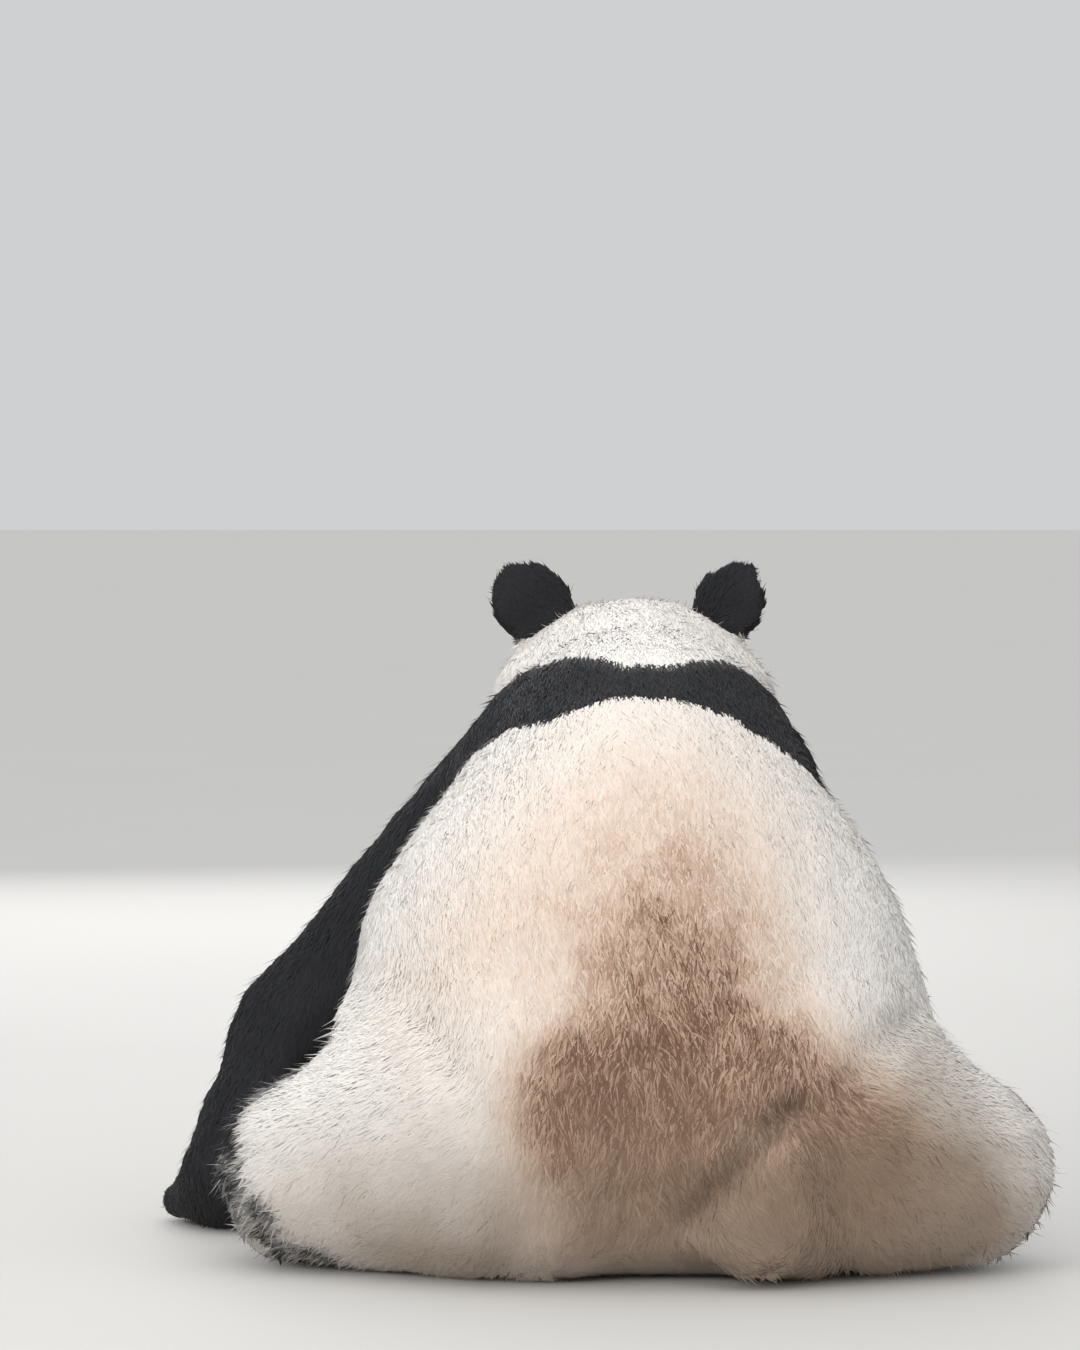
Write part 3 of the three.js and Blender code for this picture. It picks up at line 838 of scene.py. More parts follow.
    def warm(self, points: Array) -> Array:
        """How far the white hair is stained.

        The spots are summed, made patchy where they are strong, and levelled off below 1.

        Args:
            points: places of the scene.

        Returns:
            From 0 over a blush and brown to 1, rust.
        """
        total = spotted(points - self.anatomy.origin, STAINS)
        patchy = 0.20 * noise(points, 0.045, 11) + 0.20 * noise(points, 0.018, 12)
        total = np.maximum(total, 0.0) * (1.0 + patchy * ease(total, 0.15, 0.6))
        return total / (1.0 + total**4) ** 0.25

    def dust(self, points: Array) -> Array:
        """How grey-brown the hair is, from real dust and from painted shade of the lower body.

        Args:
            points: places of the scene.

        Returns:
            From 0 to 1, more towards the floor and on the right haunch, where the shade of the lower body is
            painted in as well.
        """
        q = points - self.anatomy.origin
        # Darker towards the floor: dust, and painted shade of the lower body.
        low = 0.36 * ease(q[:, 2], 0.30, 0.02) * ease(q[:, 1], -0.2, 0.1)
        uneven = 0.85 + 0.15 * noise(points, 0.06, 13)
        return np.clip((low + spotted(q, DIRT_AND_SHADE)) * uneven, 0.0, 1.0)

    def cleft(self, points: Array) -> Array:
        """How deep the furrow beside the tail is, from 0 to about a half; the same number darkens the hair
        there as painted shade.
        """
        squash = np.array([1.0, 0.4, 1.0])
        q = points - self.anatomy.origin
        return 0.42 * bell(distance_to_line(q * squash, CLEFT * squash), 0.018) * (q[:, 1] > 0.2)


# ------------------------------------------------------------------ finishes


class Nodes:
    """A short way to write a material's nodes."""

    def __init__(self, name: str) -> None:
        """Args: name: the new material's name."""
        self.material = bpy.data.materials.new(name)
        self.material.use_nodes = True
        self.tree = self.material.node_tree
        self.shader = self.tree.nodes["Principled BSDF"]

    def add(self, kind: str) -> bpy.types.Node:
        """A new node; its kind is told without the common start."""
        return self.tree.nodes.new(f"ShaderNode{kind}")

    def link(self, source: Socket, target: Socket) -> None:
        """Joins two sockets."""
        self.tree.links.new(source, target)

    def attribute(self, name: str) -> Socket:
        """The number that a piece stores under a name."""
        node = self.add("Attribute")
        node.attribute_name = name
        return node.outputs["Fac"]

    def object_place(self) -> Socket:
        """The place in the object's own coordinates."""
        return self.add("TexCoord").outputs["Object"]

    def mix(self, share: Socket, first: Socket | Colour, second: Socket | Colour) -> Socket:
        """Mixes two colours.

        Args:
            share: how much of the second, from 0 to 1.
            first: a colour, or a socket with one.
            second: the other.

        Returns:
            The mixed colour.
        """
        node = self.add("Mix")
        node.data_type = "RGBA"
        self.link(share, node.inputs["Factor"])
        for value, socket in ((first, node.inputs["A"]), (second, node.inputs["B"])):
            if isinstance(value, tuple):
                socket.default_value = (*value, 1.0)
            else:
                self.link(value, socket)
        return node.outputs["Result"]

    def ramp(self, value: Socket, stops: tuple[tuple[float, Colour], ...]) -> Socket:
        """Reads a colour off a scale.

        Args:
            value: where to read, from 0 to 1.
            stops: the scale, as places in rising order and their colours.

        Returns:
            The colour there.
        """
        node = self.add("ValToRGB")
        scale = node.color_ramp.elements
        for place, _ in stops[2:]:
            scale.new(place)
        for element, (place, colour) in zip(scale, stops):
            element.position = place
            element.color = (*colour, 1.0)
        self.link(value, node.inputs["Fac"])
        return node.outputs["Color"]

    def scaled(self, colour: Socket, factor: Socket) -> Socket:
        """A colour times a number.

        Args:
            colour: the colour.
            factor: the number.

        Returns:
            The colour, darker or lighter.
        """
        node = self.add("VectorMath")
        node.operation = "SCALE"
        self.link(colour, node.inputs[0])
        self.link(factor, node.inputs["Scale"])
        return node.outputs["Vector"]

    def spread(self, value: Socket, low: float, high: float, to_low: float, to_high: float) -> Socket:
        """Lays one range of a number onto another and holds it there.

        Args:
            value: the number.
            low: where its range starts.
            high: where it ends.
            to_low: what low becomes.
            to_high: what high becomes.

        Returns:
            The new number.
        """
        node = self.add("MapRange")
        self.link(value, node.inputs["Value"])
        for socket, number in zip(list(node.inputs)[1:5], (low, high, to_low, to_high)):
            socket.default_value = number
        return node.outputs["Result"]

    def object_noise(self, scale: float, detail: float = 3.0) -> Socket:
        """Noise in the object's own coordinates.

        Args:
            scale: waves in a metre.
            detail: how many finer layers lie on top.

        Returns:
            The noise, about a half.
        """
        node = self.add("TexNoise")
        node.inputs["Scale"].default_value = scale
        node.inputs["Detail"].default_value = detail
        self.link(self.object_place(), node.inputs["Vector"])
        return node.outputs["Fac"]

    def bump(self, height: Socket, strength: float, distance: float) -> None:
        """Roughens the shading by a height.

        Args:
            height: a number from 0 to 1.
            strength: how strongly it acts, from 0 to 1.
            distance: what a height of 1 stands for, in metres.
        """
        node = self.add("Bump")
        node.inputs["Strength"].default_value = strength
        node.inputs["Distance"].default_value = distance
        self.link(height, node.inputs["Height"])
        self.link(node.outputs["Normal"], self.shader.inputs["Normal"])

    def finish(self, colour: Socket, **values: float) -> bpy.types.Material:
        """Gives the shader its colour and sets its own sockets.

        Args:
            colour: the base colour.
            values: numbers by the sockets' names, with _ for a space.

        Returns:
            The finished material.
        """
        self.link(colour, self.shader.inputs["Base Color"])
        for key, value in values.items():
            self.shader.inputs[key.replace("_", " ")].default_value = value
        return self.material


@dataclass(frozen=True)
class Fur:
    """The look of hair: white with a scale of stains, or cool black, a little darker at the root; on the
    white that darkening is painted shade between the tufts.
    """

    name: str
    bumpy: bool
    white: Colour = (0.92, 0.90, 0.865)
    blush: Colour = (0.77, 0.62, 0.51)
    brown: Colour = (0.48, 0.32, 0.23)
    rust: Colour = (0.160, 0.076, 0.043)
    # grey-brown of dust and of painted shade low on the body
    dust_and_shade_tint: Colour = (0.29, 0.203, 0.140)
    black_root: Colour = (0.010, 0.010, 0.011)
    black_tip: Colour = (0.027, 0.028, 0.031)
    # painted shade: the white hair is darker towards the root, where tufts would shade each other
    root_painted_shade: float = 0.88
    sheen: float = 0.08
    gloss: float = 0.22

    def make(self) -> bpy.types.Material:
        """Builds the material from the numbers that skin and tufts store."""
        n = Nodes(self.name)
        along = n.attribute("along")
        stains = n.ramp(
            n.attribute("warm"),
            ((0.0, self.white), (0.38, self.blush), (0.72, self.brown), (1.0, self.rust)),
        )
        # Dust and painted shade of the lower body pull the white towards grey-brown.
        dust_and_shade_tint = n.mix(n.spread(n.attribute("dust"), 0.0, 1.0, 0.0, 0.9), stains, self.dust_and_shade_tint)
        # Painted shade: the white is darkened towards the root of each tuft.
        white = n.scaled(dust_and_shade_tint, n.spread(along, 0.0, 0.6, self.root_painted_shade, 1.0))
        black = n.mix(along, self.black_root, self.black_tip)
        both = n.mix(n.attribute("black"), white, black)
        patchy = n.spread(n.object_noise(38.0), 0.3, 0.7, 0.97, 1.02)
        if self.bumpy:
            n.bump(n.object_noise(420.0, 4.0), 0.5, 0.002)
        return n.finish(
            n.scaled(n.scaled(both, n.attribute("tone")), patchy),
            Roughness=0.60,
            Sheen_Weight=self.sheen,
            Sheen_Roughness=0.5,
            Specular_IOR_Level=self.gloss,
        )


@dataclass(frozen=True)
class BareSkin:
    """Naked black skin with a fine pebbled grain: the nose, the pads and the rims of the lids."""

    name: str
    colour: Colour = (0.016, 0.014, 0.015)
    worn: Colour = (0.05, 0.044, 0.044)
    grain: float = 900.0
    roughness: float = 0.38

    def make(self) -> bpy.types.Material:
        """Builds the material."""
        n = Nodes(self.name)
        cells = n.add("TexVoronoi")
        cells.inputs["Scale"].default_value = self.grain
        n.link(n.object_place(), cells.inputs["Vector"])
        n.bump(cells.outputs["Distance"], 0.6, 0.0006)
        return n.finish(
            n.mix(n.spread(n.object_noise(70.0), 0.4, 0.7, 0.0, 1.0), self.colour, self.worn),
            Roughness=self.roughness,
            Coat_Weight=0.25,
            Coat_Roughness=0.3,
        )


@dataclass(frozen=True)
class Horn:
    """Dull horn of the claws: dark at the root, paler at the tip, with fine length streaks."""

    name: str
    root: Colour = (0.05, 0.043, 0.037)
    tip: Colour = (0.32, 0.27, 0.21)

    def make(self) -> bpy.types.Material:
        """Builds the material."""
        n = Nodes(self.name)
        n.bump(n.object_noise(700.0), 0.3, 0.0004)
        streaks = n.spread(n.object_noise(350.0, 4.0), 0.3, 0.7, 0.75, 1.15)
        return n.finish(n.scaled(n.mix(n.attribute("along"), self.root, self.tip), streaks), Roughness=0.36)


@dataclass(frozen=True)
class Wet:
    """The eyeball: a black pupil in a dark brown iris, a dark rim, and a clear wet gloss."""

    name: str
    pupil: Colour = (0.002, 0.002, 0.002)
    iris: Colour = (0.018, 0.0095, 0.006)
    rim: Colour = (0.007, 0.004, 0.003)

    def make(self) -> bpy.types.Material:
        """Builds the material; the attribute along runs from the pupil's middle, 0, to the back, 1."""
        n = Nodes(self.name)
        along = n.attribute("along")
        fibres = n.spread(n.object_noise(900.0, 4.0), 0.3, 0.7, 0.6, 1.5)
        iris = n.scaled(n.mix(n.spread(along, 0.10, 0.24, 0.0, 1.0), self.iris, self.rim), fibres)
        return n.finish(
            n.mix(n.spread(along, 0.085, 0.105, 0.0, 1.0), self.pupil, iris),
            Roughness=0.12,
            Specular_IOR_Level=0.25,
            Coat_Weight=0.25,
            Coat_Roughness=0.02,
        )


@dataclass(frozen=True)
class Ground:
    """A plain pale studio floor with a barely uneven tone."""

    name: str
    colour: Colour = (0.62, 0.61, 0.59)

    def make(self) -> bpy.types.Material:
        """Builds the material."""
        n = Nodes(self.name)
        darker = tuple(0.96 * c for c in self.colour)
        return n.finish(n.mix(n.object_noise(1.3), self.colour, darker), Roughness=0.75)


# ------------------------------------------------------------------ skin


@dataclass(frozen=True)
class Pelt:
    """Hair of one part: how deep the skin lies, and the size, lift and number of the tufts."""

    depth: float
    length: float
    width: float
    lift: float  # degrees above the skin
    per_cm2: float
    smoothing: float = 1.0


PELTS: dict[str, Pelt] = {
    "trunk": Pelt(0.0065, 0.028, 0.0018, 10, 16.2),
    "neck": Pelt(0.0065, 0.027, 0.0018, 10, 16.2),
    "head": Pelt(0.0050, 0.017, 0.0015, 10, 23.0, 0.15),
    "ear": Pelt(0.0035, 0.017, 0.0018, 15, 21.0, 0.35),
    "tail": Pelt(0.0070, 0.034, 0.0024, 13, 14.0, 0.6),
    "upper_arm": Pelt(0.0060, 0.027, 0.0024, 11, 12.0, 0.7),
    "forearm": Pelt(0.0055, 0.024, 0.0023, 11, 13.0, 0.6),
    "forepaw": Pelt(0.0035, 0.012, 0.0019, 11, 18.0, 0.25),
    "thigh": Pelt(0.0075, 0.032, 0.0020, 13, 15.3, 0.8),
    "shin": Pelt(0.0065, 0.027, 0.0024, 12, 13.0, 0.6),
    "hind_foot": Pelt(0.0035, 0.012, 0.0019, 11, 18.0, 0.2),
}


def pelt_of(part: Part) -> Pelt:
    """The hair of a part, the same on both sides."""
    return PELTS[part.value.replace("_left", "").replace("_right", "")]


@dataclass
class Skin:
    """One closed skin for the whole body, with the numbers that the coat is grown from."""

    anatomy: Anatomy
    markings: Markings
    voxel: float = 0.009
    overlap: float = 0.0025
    facet_rounds: int = 45
    resting_depth: float = 0.003  # depth of the coat where the body rests on the floor
    toe_radii: Place = (0.0145, 0.030, 0.020)
    toe_setback: float = 0.031  # from the middle of a claw back to the middle of its toe
    toe_core: float = 0.35  # the middle share of a toe that is left alone
    lid: float = 0.0016  # thickness of the lids
    mound: tuple[float, float] = (0.006, 0.026)  # height and spread of the swelling round an eye
    lid_fillet: tuple[float, float] = (0.0010, 0.003)  # its height and width
    socket_depth: float = 0.0025  # how far the skin lies behind the ball in the opening
    lid_reach: tuple[float, float] = (0.09, 0.06)  # how far aside and how deep the lids act
    eye_half_wide: float = 0.0098
    eye_half_tall: float = 0.0070

    def build(self) -> "Skin":
        """Makes the surface in steps: join, smooth, refine, sink by the coat's depth, sculpt."""
        self.surface = self._joined()
        self._smooth_facets()
        self._refine()
        self._sink()
        self._sculpt()
        self._measure()
        return self

    def _joined(self) -> Surface:
        """All flesh solids, swollen until they overlap, as one shell of even cells."""
        solids = [self.anatomy.solids[name] for name in FLESH]
        swollen = [Surface(solid.points + self.overlap * solid.normals(), solid.faces) for solid in solids]
        lump = mesh_object("lump", join(swollen))
        remesh = lump.modifiers.new("cells", "REMESH")
        remesh.mode = "VOXEL"
        remesh.voxel_size = self.voxel
        whole = lump.evaluated_get(bpy.context.evaluated_depsgraph_get()).to_mesh()
        surface = read_surface(whole).largest_shell()
        bpy.data.objects.remove(lump)
        surface.points = surface.points - self.overlap * surface.normals()
        LOG.info("joined shell: %d places", len(surface.points))
        return surface

    def blend(self, key: str) -> Array:
        """A number of the pelts at each place, mixed from the parts by their shares."""
        return self.shares @ np.array([getattr(pelt_of(part), key) for part in PARTS])

    def _smooth_facets(self) -> None:
        """Irons out the solids' facets, most on the trunk and least on head and paws."""
        self.shares = self.anatomy.shares(self.surface.points)
        q = self.anatomy.in_head(self.surface.points)
        ears = share_of(self.shares, Part.EAR_LEFT, Part.EAR_RIGHT)
        nape = ease(q[:, 1], 0.03, -0.02) * ease(np.linalg.norm(q, axis=1), 0.30, 0.24) * ease(ears, 0.3, 0.1)
        strength = np.maximum(self.blend("smoothing"), nape)
        low = self.surface.points[:, 2] < 0.004
        smooth = Web(self.surface).settled(self.surface.points, self.facet_rounds, strength)
        smooth[low, 2] = self.surface.points[low, 2]
        self.surface.points = self._filled_nape(smooth)

    def _filled_nape(self, points: Array) -> Array:
        """Fills the hollow between head and neck: places there move to the middle of their neighbours.

        Args:
            points: the skin's places.

        Returns:
            The moved places.
        """
        q = self.anatomy.in_head(points)
        ears = share_of(self.shares, Part.EAR_LEFT, Part.EAR_RIGHT)
        pull = bell(q[:, 1] + 0.10, 0.055) * ease(q[:, 2], 0.0, 0.05) * ease(ears, 0.2, 0.05)
        web = Web(self.surface)
        for _ in range(60):
            points = points + 0.8 * pull[:, None] * (web.average(points) - points)
        return points

    def _refine(self) -> None:
        """Divides the triangles of ears, face and paws, and again round the eyes and the mouth."""
        a = self.anatomy
        for level in range(3):
            middle = self.surface.points[self.surface.faces].mean(axis=1)
            q = a.in_head(middle)
            eyes = np.minimum(*(np.linalg.norm(middle - e, axis=1) for e in a.eyes.values()))
            if level == 0:
                chosen = (q[:, 1] > 0.07) & (np.linalg.norm(q, axis=1) < 0.26)
                for side in SIDES:
                    chosen |= np.linalg.norm(middle - a.centre_of(f"ear_{side}"), axis=1) < 0.064
                for claw in a.claws():
                    chosen |= np.linalg.norm(middle - claw, axis=1) < 0.062
            elif level == 1:
                chosen = (eyes < 0.034) | ((q[:, 1] > 0.10) & (q[:, 2] < -0.035))
            else:
                chosen = eyes < 0.024
            self.surface = self.surface.refined(chosen)
        web = Web(self.surface)
        self.surface.points = web.settled(self.surface.points, 4, np.full(web.count, 0.8))
        LOG.info("refined skin: %d triangles", len(self.surface.faces))

    def _sink(self) -> None:
        """Moves the skin in by the depth of the coat, and only a little where the body rests."""
        self.shares = self.anatomy.shares(self.surface.points)
        depth = self.blend("depth")
        q = self.anatomy.in_head(self.surface.points)
        muzzle = ease(np.linalg.norm(q - np.array([0.0, 0.20, -0.05]), axis=1), 0.07, 0.22)
        head = share_of(self.shares, Part.HEAD)
        depth = depth * (1.0 - head * (1.0 - muzzle) * 0.72)
        normals = self.surface.normals()
        resting = ease(-normals[:, 2], 0.5, 1.20) * ease(self.surface.points[:, 2], 0.03, 0.01)
        depth = depth * (1.0 - resting) + self.resting_depth * resting
        web = Web(self.surface)
        for _ in range(6):
            depth = web.average(depth)
            normals = unit(web.average(normals))
        points = self.surface.points - depth[:, None] * normals
        self.surface.points = web.settled(points, 3, np.full(web.count, 0.6))
        self.surface.points[:, 2] = np.maximum(self.surface.points[:, 2], SKIN_GAP)

    def _sculpt(self) -> None:
        """Adds the forms that the plain solids leave out."""
        self._creases()
        self._toes()
        self._snout()
        self._mouth()
        self._lids()

    def _creases(self) -> None:
        """Deepens the folds where thighs and arms meet the trunk."""
        points = self.surface.points
        push = np.zeros(len(points))
        trunk = distance_to_segment(points, *self.anatomy.bones[Part.TRUNK][:2])
        trunk -= self.anatomy.bones[Part.TRUNK][2]
        for side in SIDES:
            for name, deep in (("thigh", 0.008), ("upper_arm", 0.005)):
                a, b, r = self.anatomy.bones[paired(name, side)]
                limb = distance_to_segment(points, a, b) - r
                push += deep * bell(limb - trunk, 0.022) * ease(limb + trunk, 0.12, 0.02)
        push += 0.024 * self.markings.cleft(points)
        self.surface.points = points - push[:, None] * self.surface.normals()

    def _toes(self) -> None:
        """Raises a rounded toe behind each claw: places inside an egg move out to its surface."""
        points, radii = self.surface.points, np.array(self.toe_radii)
        for side, limb in product(SIDES, LIMBS):
            axes = self.anatomy.paw_axes(limb, side)
            for claw in self.anatomy.toes(limb, side):
                middle = claw - axes[1] * self.toe_setback
                q = (points - middle) @ axes.T / radii
                reach = np.linalg.norm(q, axis=1)
                inside = (reach < 1.0) & (reach > self.toe_core)
                grown = (q / np.maximum(reach, self.toe_core)[:, None]) * radii
                points = np.where(inside[:, None], grown @ axes + middle, points)
        points[:, 2] = np.maximum(points[:, 2], SKIN_GAP)
        self.surface.points = points
        self.surface.points = Web(self.surface).settled(points, 3, 0.7 * self._near_toes(points))

    def _near_toes(self, points: Array) -> Array:
        """1 close to the claws, 0 away from them."""
        gaps = [np.linalg.norm(points - claw, axis=1) for claw in self.anatomy.claws()]
        return ease(np.minimum.reduce(gaps), 0.08, 0.05)

    def _snout(self) -> None:
        """Carries the bridge of the snout forward to the upper rim of the nose."""
        nose = self.anatomy.in_head(self.anatomy.joints["nose"][None])
        q = self.anatomy.in_head(self.surface.points) - nose
        reach = np.hypot(q[:, 0], q[:, 2])
        push = 0.006 * bell(reach, 0.030) * ease(q[:, 2], -0.006, 0.010) * (q[:, 1] > -0.08)
        self.surface.points = self.surface.points + push[:, None] * self.anatomy.head_axes[1]

    def mouth_gap(self, points: Array) -> Array:
        """How far each point is from the line of the lips, a curve from under the nose to each cheek.

        Args:
            points: places of the scene.

        Returns:
            The distance as seen from the front, and a large number behind the muzzle.
        """
        q = self.anatomy.in_head(points)
        flat = np.stack([np.abs(q[:, 0]), q[:, 2]], axis=1)
        t = np.linspace(0.0, 1.0, 14)[:, None]
        lips = np.concatenate([0.050 * t**1.1, -0.072 - 0.024 * np.sin(t * 2.3)], axis=1)
        groove = np.concatenate([0.0 * t, -0.050 - 0.022 * t], axis=1)
        gap = np.minimum(distance_to_line(flat, lips), distance_to_line(flat, groove))
        return np.where(q[:, 1] > 0.10, gap, FAR)

    def _mouth(self) -> None:
        """Presses the line of the lips into the muzzle, with a slight swelling beside it."""
        gap = self.mouth_gap(self.surface.points)
        push = 0.0045 * bell(gap, 0.0032) - 0.0014 * bell(gap - 0.009, 0.005)
        self.surface.points = self.surface.points - push[:, None] * self.surface.normals()

    def eye_place(self, points: Array, side: str) -> tuple[Array, Array, Array]:
        """Where places lie before an eye, seen along its line of sight.

        The opening is an almond between two parabolas that meet at pointed, slanting corners.

        Args:
            points: places of the scene.
            side: which eye.

        Returns:
            The height along the line of sight, the distance from it, and a number that is 1 on the
            edge of the opening and less inside.
        """
        out = self.anatomy.sight(side)
        slant = unit(np.array([SIDES[side], -0.34, -0.42])) @ self.anatomy.head_axes
        across = unit(slant - (slant @ out) * out)
        rise = np.cross(across, out)
        w = points - self.anatomy.eyes[side]
        wide, tall = w @ across, w @ rise
        opening = np.abs(tall) / self.eye_half_tall + (wide / self.eye_half_wide) ** 2
        return w @ out, np.hypot(wide, tall), opening

    def _lids(self) -> None:
        """Draws two lids over each eyeball: outside the opening the skin lies on the ball or above it."""
        radius = self.anatomy.head.eye_radius
        aside, deep = self.lid_reach
        for side in SIDES:
            height, gap, opening = self.eye_place(self.surface.points, side)
            ball = np.sqrt(np.maximum(radius**2 - gap**2, 0.0))
            lid = np.sqrt(np.maximum((radius + self.lid) ** 2 - gap**2, 0.0))
            lid = np.where(gap < radius + self.lid, lid, -1.0)
            raised = height + self.mound[0] * bell(gap, self.mound[1])
            near = np.maximum(1.0 - np.abs(raised - lid) / self.lid_fillet[1], 0.0)
            over = np.maximum(raised, lid) + self.lid_fillet[0] * near**2
            target = np.where(opening < 1.0, ball - self.socket_depth, over)
            push = np.where((gap < aside) & (np.abs(height) < deep), target - height, 0.0)
            self.surface.points = self.surface.points + push[:, None] * self.anatomy.sight(side)

    def _measure(self) -> None:
        """Works out normals, the lie of the hair, markings and bare places on the final skin."""
        self.shares = self.anatomy.shares(self.surface.points)
        self.normals = self.surface.normals()
        self.web = Web(self.surface)
        self.lie = self._lie()
        m, p = self.markings, self.surface.points
        self.black, self.warm, self.dust = m.black(p), m.warm(p), m.dust(p)
        q = self.anatomy.in_head(p)
        self.bare = ease(np.linalg.norm(p - self.anatomy.joints["nose"], axis=1), 0.026, 0.021)
        self.bare = np.maximum(self.bare, ease(self.mouth_gap(p), 0.0050, 0.0026) * (q[:, 1] > 0.08))
        for side in SIDES:
            height, gap, opening = self.eye_place(p, side)
            self.bare = np.maximum(self.bare, ease(opening, 1.6, 1.4) * (gap < 0.02) * (height > 0.0))
            for spot, reach in self.sole_spots(side):
                away = np.linalg.norm(p - spot, axis=1)
                self.bare = np.maximum(self.bare, ease(away, reach + 0.004, reach))
        self.dark = np.maximum(self.black, self.bare)

    def sole_axes(self, side: str) -> Array:
        """The ways across, along and out of the sole of a hind foot, which is turned to the front.

        Args:
            side: left or right.

        Returns:
            The three ways as rows.
        """
        axes = self.anatomy.paw_axes("hind", side)
        if axes[2, 1] > 0.0:
            axes[2] = -axes[2]
        return axes

    def sole_spots(self, side: str) -> list[tuple[Array, float]]:
        """Finds the middles of the pads of a hind foot on the skin.

        Args:
            side: which foot.

        Returns:
            Five small ones, then the broad one, each with its reach.
        """
        claws = self.anatomy.toes("hind", side)
        _, ahead, sole = self.sole_axes(side)
        wanted = [(claw - 0.026 * ahead, 0.011) for claw in claws]
        wanted.append((claws.mean(axis=0) - 0.048 * ahead, 0.026))
        return [(self._outermost(spot, sole), reach) for spot, reach in wanted]

    def _outermost(self, spot: Array, way: Array) -> Array:
        """The skin's outermost place beside a line, and a little inside it.

        Args:
            spot: a place of the line.
            way: where it runs, outwards.

        Returns:
            The place of the line 3 mm below the outermost one found beside it.
        """
        offset = self.surface.points - spot
        along = offset @ way
        aside = np.linalg.norm(offset - along[:, None] * way, axis=1)
        near = (aside < 0.010) & (np.abs(along) < 0.115)
        return spot + (along[near].max() - 0.003) * way

    def _lie(self) -> Array:
        """The way the hair points at each place: along each bone away from the head, then evened out."""
        p = self.surface.points
        joints = self.anatomy.joints
        total = np.zeros_like(p)
        for index, part in enumerate(PARTS):
            start, end, _ = self.anatomy.bones[part]
            share = self.shares[:, [index]] ** 1.5
            outward = unit(end - start) * np.ones_like(p)
            if part is Part.TRUNK:
                way = -outward + np.array([0.0, 0.0, -0.30])
            elif part is Part.NECK:
                way = -outward
            elif part is Part.HEAD:
                way = unit(p - joints["nose"]) + 0.25 * unit(joints["collar"] - joints["nose"])
                for eye in self.anatomy.eyes.values():
                    way += 2.5 * unit(p - eye) * ease(np.linalg.norm(p - eye, axis=1), 0.032, 0.017)[:, None]
            elif part in (Part.EAR_LEFT, Part.EAR_RIGHT):
                way = unit(p - self.anatomy.skull) + np.array([0.0, 0.0, 0.3])
            elif part in (Part.THIGH_LEFT, Part.THIGH_RIGHT):
                way = outward + np.array([0.0, -0.1, -0.55])
            else:
                way = outward
            total += share * way
        for rounds, swirl in ((14, 0.35), (4, 0.0)):
            total += swirl * self._swirls(p)
            total -= dot(total, self.normals)[:, None] * self.normals
            total = unit(total)
            for _ in range(rounds):
                total = self.web.average(total)
                total -= dot(total, self.normals)[:, None] * self.normals
        return unit(total)

    def _swirls(self, p: Array) -> Array:
        """A slowly turning disorder in the lie of the hair, strongest on the rump."""
        wild = 0.35 + 2.0 * ease(self.rump(p), 0.0, 1.0)
        sway = np.stack([noise(p, 0.075, 21 + k) + 0.5 * noise(p, 0.03, 31 + k) for k in range(3)], axis=1)
        return sway * wild[:, None]

    def rump(self, p: Array) -> Array:
        """1 low on the back, where the hair is tangled, 0 elsewhere."""
        q = p - self.anatomy.origin
        far = ((q[:, 0] + 0.03) / 0.20) ** 2 + ((q[:, 2] - 0.20) / 0.16) ** 2
        return np.exp(-far) * (q[:, 1] > 0.1)

    def dress(self, material: bpy.types.Material) -> None:
        """Puts the skin into the scene in place of the flesh solids.

        Args:
            material: fur, seen between the tufts.
        """
        obj = mesh_object("skin", self.surface)
        set_attribute(obj, "black", self.dark)
        set_attribute(obj, "warm", self.warm)
        set_attribute(obj, "dust", self.dust)
        # At along 0.45 the skin between the tufts takes a little of the painted root shade.
        set_attribute(obj, "along", np.full(len(self.surface.points), 0.45))
        set_attribute(obj, "tone", 0.9 + 0.1 * noise(self.surface.points, 0.012, 41))
        finish_piece(obj, material, "white_coat", *FLESH)


# ------------------------------------------------------------------ coat

# A tuft is a closed sliver with four places: its root, its left and right edge, and its tip.
TUFT_FACES = np.array([[0, 1, 2], [3, 2, 1], [1, 0, 3], [0, 2, 3]])
TUFT_ALONG = np.array([0.0, 0.55, 0.55, 1.0])
TUFT_PATCH = np.array([[0.0, -0.5], [-0.5, 0.0], [0.5, 0.0], [0.0, 0.5]])


@dataclass
class Roots:
    """Where tufts grow: the triangle of each root and its three shares of that triangle's corners."""

    face: Array
    share: Array

    def read(self, faces: Array, values: Array) -> Array:
        """A number or vector stored for the skin's places, read at the roots."""
        corner = values[faces[self.face]]
        return np.einsum("ij,ij...->i...", self.share, corner)


